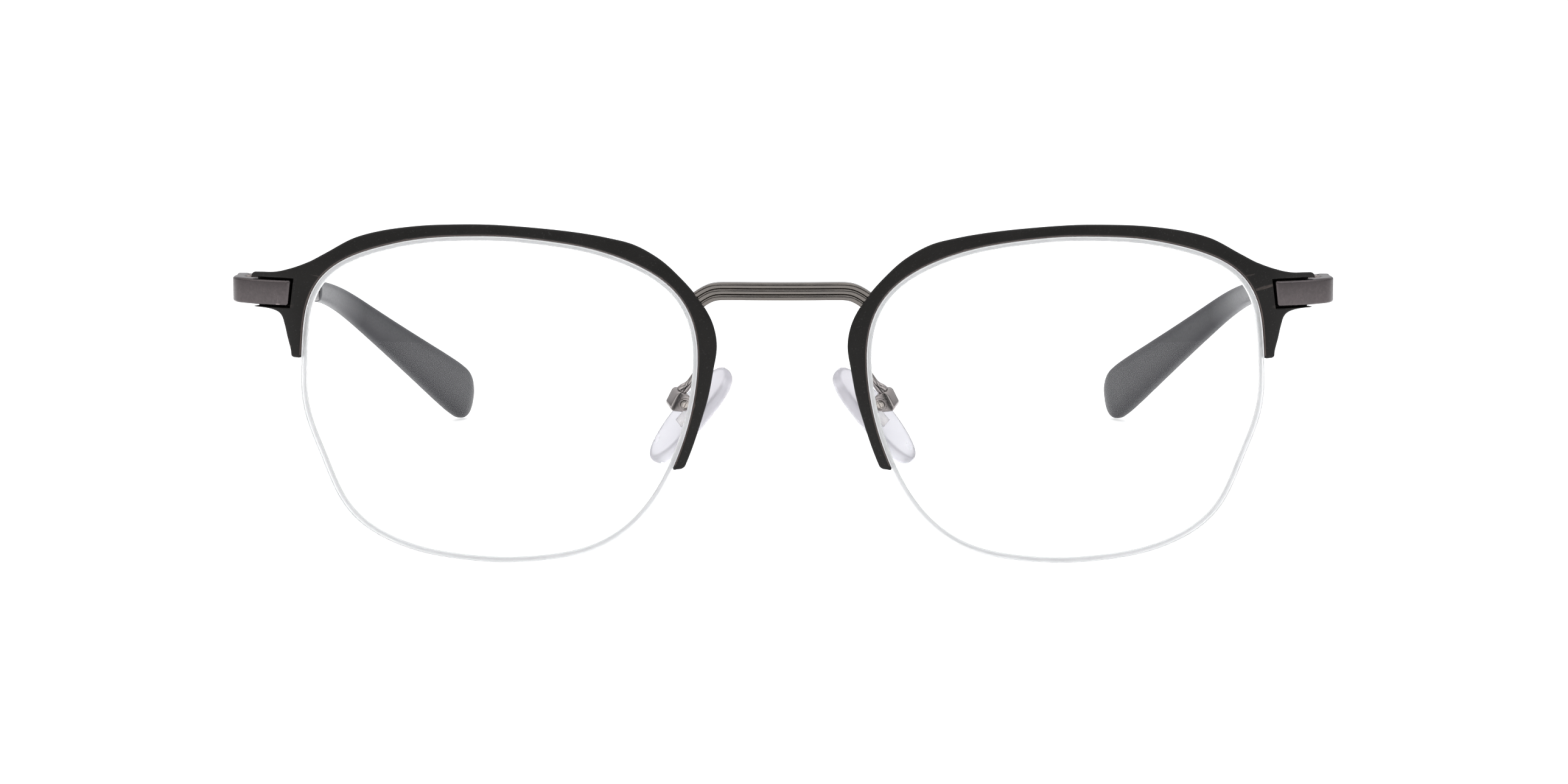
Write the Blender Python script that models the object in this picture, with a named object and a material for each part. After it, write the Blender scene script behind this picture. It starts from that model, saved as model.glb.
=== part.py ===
"""Half rim eyeglasses: black half rims on grooved clear lenses held by a nylon
cord, a reeded metal bridge, metal endpieces, three-barrel hinges, slim metal
temples with plastic tips, and screw-on silicone nose pads on wire arms.

Frame: +X to the wearer's left, +Y from the front towards the ears, +Z up.
The glasses stand open on z = 0, on the lower edge of both lenses and on the
ends of both temple tips.  The shapes are worked out in millimetres with a
lateral coordinate u (outwards from the nose), y (backwards) and v (upwards
from the datum line) for the wearer's left half, then mirrored for the right.
"""
import math

import bmesh
import bpy
import numpy as np
from mathutils import Matrix, Vector

MM = 0.001

# ------------------------------------------------------------ frame as a whole
ORIGIN_Y = -76.873           # puts the origin under the middle of the depth
DATUM_Z = 22.312              # height of the datum line above the table
FACE_FORM = 5.0             # degrees, each lens turned back at the temple side
BASE_RADIUS = 125.0         # curvature of the lens front

# ---------------------------------------------------------------------- lenses
LENS_U, LENS_V = 36.45, -1.3          # middle of the lens box
LENS_RADII = (                          # lens shape, every 15 degrees from the
    25.05, 25.85, 27.25, 25.75, 23.2, 21.5,  # temple side, over the top
    20.85, 21.15, 22.55, 24.75, 26.8, 26.5,
    25.1, 24.2, 23.85, 23.5, 22.55, 21.35,
    20.9, 21.25, 22.4, 23.75, 24.05, 24.05)
LENS_THICK = 1.9
GROOVE_DEPTH = 0.56
GROOVE_WIDTH = 0.62
STEP_DEG = 4.0              # spacing of the stations round the lens

# ------------------------------------------------------------------- half rims
RIM_THICK = 2.2
RIM_GAP = 0.03              # rim to the nominal lens shape
LENS_INSET = 0.03           # lens edge inside the nominal lens shape
RIM_START, RIM_END = 11.4, 200.75        # ends of the half rim, in degrees
RIM_WIDTH = ((10, 1.3), (13, 1.42), (17, 2.04), (22, 2.7), (28, 2.7),
             (34, 2.42), (40, 1.9), (47, 2.04), (54, 1.94), (62, 1.72),
             (72, 1.56), (84, 1.49), (96, 1.43), (108, 1.53), (118, 1.68),
             (126, 1.92), (133, 2.21), (140, 2.05), (147, 1.73), (153, 1.86),
             (160, 2.4), (165, 2.46), (171, 2.0), (178, 1.73), (186, 1.43),
             (194, 1.34), (201, 1.3))
CHANNEL_DEPTH = 0.56
CHANNEL_WIDTH = 0.62
LUG = ((60.6, 14.2, 15.9), (61.4, 12.5, 15.6), (62.3, 8.2, 15.22),
       (63.1, 8.75, 14.98), (63.9, 9.18, 14.75), (64.9, 9.62, 14.56),
       (65.9, 9.8, 14.5), (67.5, 9.9, 14.46),
       (67.95, 10.3, 14.0))         # u, lower edge, upper edge

# ---------------------------------------------------------- liner and cord
LINER_WIDTH = 0.50
LINER_START, LINER_END = 24.0, 184.0
CORD_R = 0.25
CORD_HOLE_R = 0.31
CORD_HOLES = (14.5, 191.5)

# -------------------------------------------------------------------- endpiece
END_HEIGHT = 3.3
END_THICK = 1.6
END_V = 11.98
END_START_U = 62.9
SEAT_SIDE, SEAT_END, SEAT_BACK = 0.26, 0.4, 0.06

# ----------------------------------------------------------------------- hinge
HINGE_U, HINGE_Y, HINGE_V = 67.8, 15.0, 12.1
BARREL_R = 1.15
KNUCKLE = 0.9
KNUCKLE_GAP = 0.05
HINGE_BORE_R = 0.75
HINGE_SCREW_R = 0.70
LEAF_THICK = 0.6
LEAF_LEN = 2.0
LEAF_OFFSET = 1.3           # leaf plate starts this far from the axis

# --------------------------------------------------------------------- temples
TEMPLE_U = 70.2
TEMPLE_LEN = 145.8
YAW0, YAW1, YAW_S, YAW_W = 1.4, 15.6, 68.8, 28.8
PITCH0, PITCH1, PITCH_S, PITCH_W = 6.24, 15.7, 70.6, 29.7
TIP_START = 72.0
BAR = ((0.05, 1.65, 0.80), (4.0, 1.65, 0.80), (71.95, 1.30, 0.60))
CORE_END = 134.0
CORE_R = 0.55
BORE_R = 0.63
TIP = ((72.0, 1.48, 0.98), (76.0, 1.53, 1.02), (84.0, 1.66, 1.08),
       (94.0, 1.98, 1.18), (104.0, 2.4, 1.28), (114.0, 2.88, 1.4),
       (124.0, 3.42, 1.53), (134.0, 3.95, 1.65), (139.8, 4.1, 1.6),
       (142.8, 3.75, 1.45), (144.7, 3.05, 1.15), (145.6, 2.0, 0.7))

# -------------------------------------------------------------------- nose pads
PAD_U, PAD_Y, PAD_V = 11.45, 7.5, -4.2
PAD_SPREAD = 40.0           # degrees, frontal angle of the pad's length
PAD_SPLAY = 24.0            # degrees, turn of the contact face backwards
PAD_LEN, PAD_WIDTH, PAD_THICK = 15.2, 7.8, 2.5
PAD_BACK = -1.2             # back face of the pad, from its middle plane
PAD_AXIS_A, PAD_AXIS_N = -0.76, -2.8     # pad screw axis, along and behind
PAD_BORE_R = 0.48
PAD_SCREW_R = 0.42
BOX_TURN = 15.0             # degrees, box turned from the pad's length
BOX_LEN, BOX_BACK = 2.7, -1.65
BOX_HALF_W = 1.11
BOX_SLOT_HALF_W = 0.66
ARM_R = 0.45
ARM_PATH = ((9.65, 2.25, 4.2), (9.65, 3.3, 4.1), (10.0, 4.4, 3.5),
            (10.7, 5.2, 2.4), (11.45, 5.7, 1.2), (12.2, 5.95, 0.2))

# ---------------------------------------------------------------------- bridge
BRIDGE_PATH = ((0.0, 1.0, 12.77), (3.5, 1.0, 12.78), (6.8, 1.08, 12.8),
               (8.15, 1.25, 12.75), (9.05, 1.45, 12.55), (9.95, 1.65, 12.1),
               (10.75, 1.8, 11.55), (11.45, 1.92, 11.05))
BRIDGE_HEIGHT = 2.25
BRIDGE_THICK = 1.7
RIBS = 3


# =============================================================== scene set-up
for ob in list(bpy.data.objects):
    bpy.data.objects.remove(ob, do_unlink=True)

parts = bpy.data.collections.new("half_rim_eyeglasses")
cutters = bpy.data.collections.new("cutters")
bpy.context.scene.collection.children.link(parts)
bpy.context.scene.collection.children.link(cutters)


def material(name, rgb, rough, metal=0.0, alpha=1.0):
    m = bpy.data.materials.new(name)
    m.use_nodes = True
    m.diffuse_color = (*rgb, alpha)
    p = m.node_tree.nodes["Principled BSDF"]
    p.inputs["Base Color"].default_value = (*rgb, 1.0)
    p.inputs["Roughness"].default_value = rough
    p.inputs["Metallic"].default_value = metal
    p.inputs["Alpha"].default_value = alpha
    return m


BLACK = material("rim_black", (0.017, 0.017, 0.018), 0.5)
GUNMETAL = material("gunmetal", (0.16, 0.145, 0.145), 0.35, 1.0)
BRIDGE_METAL = material("bridge_gunmetal", (0.11, 0.10, 0.095), 0.3, 1.0)
STEEL = material("screw_steel", (0.45, 0.44, 0.43), 0.3, 1.0)
LENS = material("lens_clear", (0.95, 0.97, 0.97), 0.03, 0.0, 0.25)
NYLON = material("nylon_clear", (0.8, 0.8, 0.8), 0.35)
TIP_PLASTIC = material("tip_plastic", (0.11, 0.11, 0.12), 0.35)
SILICONE = material("pad_silicone", (0.82, 0.81, 0.86), 0.3, 0.0, 0.6)


# ============================================================ small geometry
def mixed(table, t, k=1):
    """Smooth curve through (t, value, ...) rows: cubic with limited slopes."""
    ts = [row[0] for row in table]
    vs = [row[k] for row in table]
    t = min(max(t, ts[0]), ts[-1])
    i = max(j for j in range(len(ts) - 1) if ts[j] <= t)
    slopes = []
    for j in (i, i + 1):
        lo, hi = max(j - 1, 0), min(j + 1, len(ts) - 1)
        slopes.append((vs[hi] - vs[lo]) / (ts[hi] - ts[lo]))
    h = ts[i + 1] - ts[i]
    x = (t - ts[i]) / h
    return ((2 * x**3 - 3 * x**2 + 1) * vs[i] + (x**3 - 2 * x**2 + x) * h * slopes[0]
            + (3 * x**2 - 2 * x**3) * vs[i + 1] + (x**3 - x**2) * h * slopes[1])


def curve_through(points, per=4):
    """Points along a smooth curve through the given ones."""
    p = [np.array(q, float) for q in points]
    p = [2 * p[0] - p[1]] + p + [2 * p[-1] - p[-2]]
    out = []
    for i in range(1, len(p) - 2):
        for k in range(per):
            t = k / per
            out.append(0.5 * (2 * p[i] + (p[i + 1] - p[i - 1]) * t
                              + (2 * p[i - 1] - 5 * p[i] + 4 * p[i + 1] - p[i + 2]) * t * t
                              + (3 * p[i] - p[i - 1] - 3 * p[i + 1] + p[i + 2]) * t**3))
    out.append(p[-2])
    return out


def unit(v):
    v = np.array(v, float)
    return v / np.linalg.norm(v)


SPECTRUM = np.fft.rfft(np.array(LENS_RADII)) / len(LENS_RADII)


def lens_radius(deg):
    """Radius of the lens shape at any angle, from its 24 radii."""
    a = math.radians(deg)
    r = SPECTRUM[0].real
    for k in range(1, len(SPECTRUM)):
        w = 2.0 if k < len(LENS_RADII) / 2 else 1.0
        r += w * (SPECTRUM[k].real * math.cos(k * a) - SPECTRUM[k].imag * math.sin(k * a))
    return r


def front(u, v):
    """Depth of the middle surface of lens, rim and lug."""
    du, dv = u - 35.4, v + 1.0
    lug = 0.02 * max(u - 60.5, 0.0) ** 2
    return 1.0 + du * math.tan(math.radians(FACE_FORM)) + (du * du + dv * dv) / (2 * BASE_RADIUS) + lug


def at(u, y, v):
    return np.array((u, y, v))


def surface_point(u, v):
    return at(u, front(u, v), v)


def surface_normal(u, v):
    e = 0.01
    return unit((-(front(u + e, v) - front(u - e, v)) / (2 * e), 1.0,
                 -(front(u, v + e) - front(u, v - e)) / (2 * e)))


def lens_uv(deg, scale=1.0):
    a = math.radians(deg)
    r = lens_radius(deg) * scale
    return LENS_U + r * math.cos(a), LENS_V + r * math.sin(a)


def edge_frame(deg):
    """Point on the lens edge, outward direction in the lens surface, normal."""
    p = surface_point(*lens_uv(deg))
    t = unit(surface_point(*lens_uv(deg + 0.5)) - surface_point(*lens_uv(deg - 0.5)))
    n = surface_normal(p[0], p[2])
    return p, unit(np.cross(n, t)), n


def edge_point(deg, out, depth=0.0):
    p, o, n = edge_frame(deg)
    return p + o * out + n * depth


def ease(t):
    t = min(max(t, 0.0), 1.0)
    return t * t * t * (t * (6 * t - 15) + 10)


def temple_dir(s):
    yaw = math.radians(YAW0 + YAW1 * ease((s - YAW_S) / YAW_W))
    pitch = math.radians(PITCH0 + PITCH1 * ease((s - PITCH_S) / PITCH_W))
    d = np.array((-math.cos(pitch) * math.sin(yaw), math.cos(pitch) * math.cos(yaw), -math.sin(pitch)))
    side = np.array((math.cos(yaw), math.sin(yaw), 0.0))
    return d, side, np.cross(side, d)


def temple_frames(step=0.5):
    """Centre line of the temple: distance, point, direction, side, height."""
    n = int(round(TEMPLE_LEN / step))
    p = at(TEMPLE_U, HINGE_Y, HINGE_V)
    rows = []
    for i in range(n + 1):
        s = i * step
        rows.append((s, p.copy(), *temple_dir(s)))
        p = p + temple_dir(s + step / 2)[0] * step
    return rows


TEMPLE = temple_frames()


def temple_at(s):
    i = min(int(s / 0.5), len(TEMPLE) - 1)
    s0, p, d, side, up = TEMPLE[i]
    return p + d * (s - s0), d, side, up


# ================================================================ mesh helpers
def place(x):
    """Millimetres of the design to metres of the model."""
    return Vector((x[0], x[1] + ORIGIN_Y, x[2] + DATUM_Z)) * MM


def loft(sections, ring=False):
    bm = bmesh.new()
    rows = [[bm.verts.new(p) for p in sec] for sec in sections]
    n = len(rows[0])
    pairs = list(zip(rows, rows[1:])) + ([(rows[-1], rows[0])] if ring else [])
    for a, b in pairs:
        for i in range(n):
            j = (i + 1) % n
            bm.faces.new((a[i], a[j], b[j], b[i]))
    if not ring:
        bm.faces.new(list(reversed(rows[0])))
        bm.faces.new(rows[-1])
    bmesh.ops.recalc_face_normals(bm, faces=bm.faces)
    return bm


def emit(name, bm, mat, side=1, coll=None, pivot=None, smooth=None):
    """Turn a bmesh in design millimetres into a named object in metres."""
    if side < 0:
        bmesh.ops.transform(bm, matrix=Matrix.Diagonal((-1, 1, 1, 1)), verts=bm.verts)
        bmesh.ops.reverse_faces(bm, faces=bm.faces)
    for v in bm.verts:
        v.co = place(v.co)
    me = bpy.data.meshes.new(name)
    bm.to_mesh(me)
    bm.free()
    ob = bpy.data.objects.new(name, me)
    (coll or parts).objects.link(ob)
    if mat:
        me.materials.append(mat)
    if pivot is not None:
        q = place((pivot[0] * side, pivot[1], pivot[2]))
        me.transform(Matrix.Translation(-q))
        ob.location = q
    if smooth:
        me.shade_smooth()
        me.set_sharp_from_angle(angle=math.radians(smooth))
    if coll is cutters:
        ob.hide_render = True
        ob.display_type = "WIRE"
    return ob


def axes(origin, x, y, z):
    m = Matrix.Identity(4)
    for i, col in enumerate((x, y, z, origin)):
        for r in range(3):
            m[r][i] = float(col[r])
    return m


def box(origin, x, y, z, size):
    bm = bmesh.new()
    bmesh.ops.create_cube(bm, size=1.0)
    bmesh.ops.transform(bm, matrix=axes(origin, x, y, z) @ Matrix.Diagonal((*size, 1)), verts=bm.verts)
    bmesh.ops.recalc_face_normals(bm, faces=bm.faces)
    return bm


def cylinder(centre, axis, radius, length, sides=16, radius2=None):
    z = unit(axis)
    x = unit(np.cross(z, (0.3, 1.0, 0.2)))
    bm = bmesh.new()
    bmesh.ops.create_cone(bm, cap_ends=True, segments=sides, radius1=radius,
                          radius2=radius if radius2 is None else radius2, depth=length)
    bmesh.ops.transform(bm, matrix=axes(centre, x, np.cross(z, x), z), verts=bm.verts)
    bmesh.ops.recalc_face_normals(bm, faces=bm.faces)
    return bm


def boolean(ob, tool, op):
    m = ob.modifiers.new(op.lower(), "BOOLEAN")
    m.operation = op
    m.object = tool
    m.solver = "EXACT"


def tube(name, points, radius, mat, side=1, coll=None, sides=2):
    """A wire: curve with bevel depth, turned into a welded mesh."""
    cu = bpy.data.curves.new(name, "CURVE")
    cu.dimensions = "3D"
    cu.bevel_depth = radius * MM
    cu.bevel_resolution = sides
    cu.use_fill_caps = True
    sp = cu.splines.new("POLY")
    sp.points.add(len(points) - 1)
    for q, p in zip(sp.points, points):
        q.co = (*place((p[0] * side, p[1], p[2])), 1.0)
    tmp = bpy.data.objects.new(name + "_curve", cu)
    bpy.context.scene.collection.objects.link(tmp)
    me = bpy.data.meshes.new_from_object(tmp.evaluated_get(bpy.context.evaluated_depsgraph_get()))
    me.name = name
    bm = bmesh.new()
    bm.from_mesh(me)
    bmesh.ops.remove_doubles(bm, verts=bm.verts, dist=0.000002)
    bmesh.ops.recalc_face_normals(bm, faces=bm.faces)
    bm.to_mesh(me)
    bm.free()
    me.materials.clear()
    if mat:
        me.materials.append(mat)
    ob = bpy.data.objects.new(name, me)
    ob.matrix_world = tmp.matrix_world
    bpy.data.objects.remove(tmp, do_unlink=True)
    bpy.data.curves.remove(cu)
    (coll or parts).objects.link(ob)
    if coll is cutters:
        ob.hide_render = True
        ob.display_type = "WIRE"
    return ob


# ======================================================================= lens
def lens(side, name):
    n = int(round(360 / STEP_DEG))
    half = LENS_THICK / 2
    g = GROOVE_WIDTH / 2
    e = -LENS_INSET
    edge = ((e, -half + 0.12), (e, -g), (-GROOVE_DEPTH, -g), (-GROOVE_DEPTH, g),
            (e, g), (e, half - 0.12))
    bm = bmesh.new()
    loops = []
    loops.append([surface_point(*lens_uv(i * STEP_DEG, 0.55)) + surface_normal(*lens_uv(i * STEP_DEG, 0.55)) * -half
                  for i in range(n)])
    loops.append([edge_point(i * STEP_DEG, e - 0.12, -half) for i in range(n)])
    for out, depth in edge:
        loops.append([edge_point(i * STEP_DEG, out, depth) for i in range(n)])
    loops.append([edge_point(i * STEP_DEG, e - 0.12, half) for i in range(n)])
    loops.append([surface_point(*lens_uv(i * STEP_DEG, 0.55)) + surface_normal(*lens_uv(i * STEP_DEG, 0.55)) * half
                  for i in range(n)])
    rows = [[bm.verts.new(p) for p in lp] for lp in loops]
    c0 = bm.verts.new(surface_point(LENS_U, LENS_V) + surface_normal(LENS_U, LENS_V) * -half)
    c1 = bm.verts.new(surface_point(LENS_U, LENS_V) + surface_normal(LENS_U, LENS_V) * half)
    for a, b in zip(rows, rows[1:]):
        for i in range(n):
            j = (i + 1) % n
            bm.faces.new((a[i], a[j], b[j], b[i]))
    for i in range(n):
        j = (i + 1) % n
        bm.faces.new((c0, rows[0][j], rows[0][i]))
        bm.faces.new((c1, rows[-1][i], rows[-1][j]))
    bmesh.ops.recalc_face_normals(bm, faces=bm.faces)
    return emit(name, bm, LENS, side, smooth=30)


# ================================================================= bridge bar
def bridge_section(p, d, grow=0.0):
    """Reeded bar section: flat back, half-round ribs on the front."""
    back = np.array((0.0, 1.0, 0.0))
    back = unit(back - d * np.dot(back, d))
    up = np.cross(back, d)
    if up[2] < 0:
        up = -up
    h, t = BRIDGE_HEIGHT / 2 + grow, BRIDGE_THICK / 2 + grow
    pts = [(t - 0.2, -h), (t, -h + 0.2), (t, h - 0.2), (t - 0.2, h)]
    r = h / RIBS
    if grow:
        pts += [(-t, h), (-t, -h)]
    else:
        for k in range(RIBS):
            c = h - r * (2 * k + 1)
            for q in range(5 if k == RIBS - 1 else 4):
                a = math.pi * q / 4
                pts.append((-t + r * 0.85 - r * 0.85 * math.sin(a), c + r * math.cos(a)))
    return [p + back * a + up * b for a, b in pts]


def bridge_sections(path, grow=0.0):
    out = []
    for i, p in enumerate(path):
        a, b = path[max(i - 1, 0)], path[min(i + 1, len(path) - 1)]
        out.append(bridge_section(p, unit(b - a), grow))
    return out


half_path = curve_through(BRIDGE_PATH, per=2)
full_path = [at(-p[0], p[1], p[2]) for p in reversed(half_path[1:])] + list(half_path)
emit("bridge", loft(bridge_sections(full_path)), BRIDGE_METAL, smooth=35)


# ================================================================ endpiece bar
def endpiece_path():
    """Middle of the endpiece from its start on the lug to the hinge."""
    p = []
    for u in (END_START_U, 64.7, 66.1, 67.4):
        n = surface_normal(u, END_V)
        q = surface_point(u, END_V) + n * (-RIM_THICK / 2 - 0.15 + END_THICK / 2)
        p.append((q[0], q[1]))
    p += [(68.85, 9.95), (69.8, 10.7), (70.32, 11.6), (70.36, 12.5), (70.23, 13.6)]
    return p


def endpiece_sections(grow=0.0, behind=0.0, lift=0.0, first=0.0, chamfer=0.25):
    path = endpiece_path()
    out = []
    butt = at(TEMPLE_U, HINGE_Y, HINGE_V)
    d_end = temple_dir(0.0)[0]
    for i, (x, y) in enumerate(path):
        a = path[max(i - 1, 0)]
        b = path[min(i + 1, len(path) - 1)] if i < len(path) - 1 else (TEMPLE_U, HINGE_Y)
        d = unit((b[0] - a[0], b[1] - a[1], 0.0))
        v = END_V
        if y > 9.0:
            v = END_V + (HINGE_V - END_V) * (y - 9.0) / (HINGE_Y - 9.0)
            tilt = -math.tan(math.radians(PITCH0)) * min((y - 9.0) / 3.0, 1.0) * d[1]
            d = unit((d[0], d[1], tilt))
        p = at(x, y, v)
        if i == 0:
            p = p - d * first
        out.append((p, d))
    out.append((butt - d_end * 0.05, d_end))
    secs = []
    for p, d in out:
        inner = unit(np.cross(d, (0.0, 0.0, 1.0)))      # towards the outside
        up = np.cross(inner, d)
        h, t = END_HEIGHT / 2 + grow, END_THICK / 2 + behind
        f = END_THICK / 2 + lift
        c = chamfer
        pts = [(f - c, -h), (f, -h + c), (f, h - c), (f - c, h), (-t + c, h), (-t, h - c), (-t, -h + c), (-t + c, -h)]
        if not c:
            pts = [(f, -h), (f, h), (-t, h), (-t, -h)]
        secs.append([p + inner * a + up * b for a, b in pts])
    return secs


# ======================================================================== rim
def rim(side, name):
    angles = [(RIM_START, 0.66), (RIM_START + 0.45, 0.9)]
    a = math.ceil(RIM_START / STEP_DEG) * STEP_DEG
    while a < RIM_END - 1.0:
        angles.append((a, 1.0))
        a += STEP_DEG
    angles += [(RIM_END - 0.9, 1.0), (RIM_END - 0.35, 0.9), (RIM_END, 0.7)]
    half, ch, g = RIM_THICK / 2, CHANNEL_DEPTH + RIM_GAP, CHANNEL_WIDTH / 2
    secs = []
    for a, k in angles:
        w = mixed(RIM_WIDTH, a) * k
        i0 = RIM_GAP
        prof = ((i0, -half + 0.22), (i0 + 0.2, -half), (w - 0.3, -half), (w, -half + 0.35),
                (w, half - 0.3), (w - 0.25, half), (i0 + 0.2, half), (i0, half - 0.2),
                (i0, g), (ch, g), (ch, -g), (i0, -g))
        secs.append([edge_point(a, o, b) for o, b in prof])
    ob = emit(name, loft(secs), BLACK, side, smooth=30)
    # lug that carries the endpiece
    lug = []
    for u, lo, hi in LUG:
        nrm = surface_normal(u, END_V)
        t = unit(np.cross(nrm, (0.0, 0.0, 1.0)))
        c = surface_point(u, END_V)
        k = 0.3
        hh = half - 0.02
        lug.append([c + nrm * b + np.array((0, 0, v - c[2])) for b, v in
                    ((-hh, lo + k), (-hh, hi - k), (-hh + k, hi), (hh - k, hi), (hh, hi - k),
                     (hh, lo + k), (hh - k, lo), (-hh + k, lo))])
    tool = emit(name + "_lug", loft(lug), BLACK, side, cutters)
    boolean(ob, tool, "UNION")
    # seat of the endpiece, open to the front and to the outer end
    tool = emit(name + "_seat", loft(endpiece_sections(SEAT_SIDE, SEAT_BACK, 1.5, SEAT_END, 0.0)[:6]),
                None, side, cutters)
    boolean(ob, tool, "DIFFERENCE")
    # mortise for the end of the bridge
    end = half_path[-1] + unit(half_path[-1] - half_path[-2]) * 0.06
    path = list(half_path[7:-1]) + [end]
    tool = emit(name + "_mortise", loft(bridge_sections(path, grow=0.06)), None, side, cutters)
    boolean(ob, tool, "DIFFERENCE")
    # holes for the ends of the cord
    for k, a in enumerate(CORD_HOLES):
        p, o, nn = edge_frame(a)
        tool = emit(name + "_cord_hole_%d" % k, cylinder(p + o * 1.6, o, CORD_HOLE_R, 2.6, 12),
                    None, side, cutters)
        boolean(ob, tool, "DIFFERENCE")
    # socket for the pad arm
    tool = emit(name + "_arm_socket", cylinder(at(ARM_PATH[0][0], ARM_PATH[0][1] + 0.95, ARM_PATH[0][2]),
                                               (0, 1, 0), ARM_R + 0.06, 2.0, 12), None, side, cutters)
    boolean(ob, tool, "DIFFERENCE")
    return ob


# ============================================================= liner and cord
def liner(side, name):
    angles = [LINER_START]
    a = math.ceil(LINER_START / STEP_DEG) * STEP_DEG
    while a < LINER_END - 0.5:
        angles.append(a)
        a += STEP_DEG
    angles.append(LINER_END)
    w = LINER_WIDTH / 2
    secs = [[edge_point(a, o, b) for o, b in ((-GROOVE_DEPTH + 0.06, -w), (CHANNEL_DEPTH + 0.02, -w),
                                             (CHANNEL_DEPTH + 0.02, w), (-GROOVE_DEPTH + 0.06, w))]
            for a in angles]
    emit(name, loft(secs), NYLON, side)


def cord(side, name):
    r = CORD_R
    a0, a1 = CORD_HOLES
    pts = [edge_point(a0, 1.35), edge_point(a0, 0.55), edge_point(a0 - 0.3, 0.12), edge_point(a0 - 1.2, -0.18)]
    a = math.floor((a0 - 2.0) / STEP_DEG) * STEP_DEG
    while a > a1 - 360 + 2.0:
        pts.append(edge_point(a, -r - 0.03))
        a -= STEP_DEG
    pts += [edge_point(a1 + 1.2, -0.18), edge_point(a1 + 0.3, 0.12), edge_point(a1, 0.55), edge_point(a1, 1.15)]
    tube(name, pts, r, NYLON, side)


# ====================================================================== hinge
HINGE = at(HINGE_U, HINGE_Y, HINGE_V)
AXIS = temple_dir(0.0)[2]
BACK = temple_dir(0.0)[0]
OUT = temple_dir(0.0)[1]


def hinge_point(x, d, h):
    return HINGE + OUT * x + BACK * d + AXIS * h


def hinge_leaf(side, name, levels, direction, pivot=None):
    face = TEMPLE_U - HINGE_U - END_THICK / 2          # inner face of endpiece and temple
    mid = face - 0.05 - LEAF_THICK / 2
    total = 3 * KNUCKLE + 2 * KNUCKLE_GAP
    ob = emit(name, box(hinge_point(mid, direction * (LEAF_OFFSET + LEAF_LEN / 2), 0), OUT, BACK, AXIS,
                        (LEAF_THICK, LEAF_LEN, total - 0.2)), GUNMETAL, side, pivot=pivot, smooth=30)
    for k in levels:
        h = (k - 1) * (KNUCKLE + KNUCKLE_GAP)
        web_y0, web_y1 = 0.45, LEAF_OFFSET + 0.9
        web = emit("%s_web_%d" % (name, k),
                   box(hinge_point((0.2 + mid + 0.1) / 2, direction * (web_y0 + web_y1) / 2, h), OUT, BACK, AXIS,
                       (mid + 0.1 - 0.2, web_y1 - web_y0, KNUCKLE - 0.02)), GUNMETAL, side, cutters)
        barrel = emit("%s_barrel_%d" % (name, k),
                      cylinder(hinge_point(0, 0, h), AXIS, BARREL_R, KNUCKLE, 16), GUNMETAL, side, cutters)
        boolean(ob, web, "UNION")
        boolean(ob, barrel, "UNION")
    bore = emit(name + "_bore", cylinder(hinge_point(0, 0, 0), AXIS, HINGE_BORE_R, 8.0, 16), None, side, cutters)
    boolean(ob, bore, "DIFFERENCE")
    return ob


def hinge_screw(side, name):
    total = 3 * KNUCKLE + 2 * KNUCKLE_GAP
    top = total / 2 + 0.03
    ob = emit(name, cylinder(hinge_point(0, 0, (top - total / 2 - 0.3) / 2), AXIS, HINGE_SCREW_R,
                             total / 2 + 0.3 + top, 16), STEEL, side, smooth=30)
    head = emit(name + "_head", cylinder(hinge_point(0, 0, top + 0.15), AXIS, 1.0, 0.3, 16, 0.9), STEEL, side, cutters)
    slot = emit(name + "_slot", box(hinge_point(0, 0, top + 0.3), unit(OUT + BACK), unit(BACK - OUT), AXIS,
                                    (3.0, 0.28, 0.36)), None, side, cutters)
    boolean(ob, head, "UNION")
    boolean(ob, slot, "DIFFERENCE")


# ===================================================================== temple
def oblong(p, side_dir, up, h, t, c, n=8):
    pts = ((t - c, -h), (t, -h + c), (t, h - c), (t - c, h), (-t + c, h), (-t, h - c), (-t, -h + c), (-t + c, -h))
    return [p + side_dir * a + up * b for a, b in pts]


def temple(side, name):
    secs = []
    for s in (0.05, 4.0, 71.95):
        p, d, sd, up = temple_at(s)
        h = np.interp(s, [r[0] for r in BAR], [r[1] for r in BAR])
        t = np.interp(s, [r[0] for r in BAR], [r[2] for r in BAR])
        secs.append(oblong(p, sd, up, h, t, 0.25))
    # core wire inside the tip
    for s in [71.95, 74.0] + list(np.linspace(76.0, CORE_END, 16)):
        p, d, sd, up = temple_at(s)
        secs.append(oblong(p, sd, up, CORE_R, CORE_R, CORE_R * 0.586))
    emit(name, loft(secs), GUNMETAL, side, pivot=HINGE, smooth=30)


def round_section(p, side_dir, up, h, t, n=14, power=2.6):
    pts = []
    for k in range(n):
        a = 2 * math.pi * k / n
        c, s = math.cos(a), math.sin(a)
        pts.append(p + side_dir * t * math.copysign(abs(c) ** (2 / power), c)
                   + up * h * math.copysign(abs(s) ** (2 / power), s))
    return pts


def tip_size(s):
    return mixed(TIP, s, 1), mixed(TIP, s, 2)


def temple_tip(side, name):
    stations = [TIP_START, 74.0, 78.0, 82.0, 86.0, 90.0, 94.0, 98.0, 104.0, 110.0, 118.0, 126.0, 134.0, 139.8, 142.8, 144.7, 145.6]
    outer = []
    for s in stations:
        p, d, sd, up = temple_at(s)
        h, t = tip_size(s)
        outer.append(round_section(p, sd, up, h, t))
    bore = []
    for s in [TIP_START, 74.0] + list(np.linspace(76.0, CORE_END, 16)) + [CORE_END + 0.3]:
        p, d, sd, up = temple_at(s)
        bore.append(oblong(p, sd, up, BORE_R, BORE_R, BORE_R * 0.586))
    ob = emit(name, loft(outer), TIP_PLASTIC, side, pivot=HINGE, smooth=40)
    p, d, sd, up = temple_at(TIP_START)
    bore[0] = [q - d * 1.0 for q in bore[0]]
    tool = emit(name + "_bore", loft(bore), None, side, cutters)
    boolean(ob, tool, "DIFFERENCE")


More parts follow.
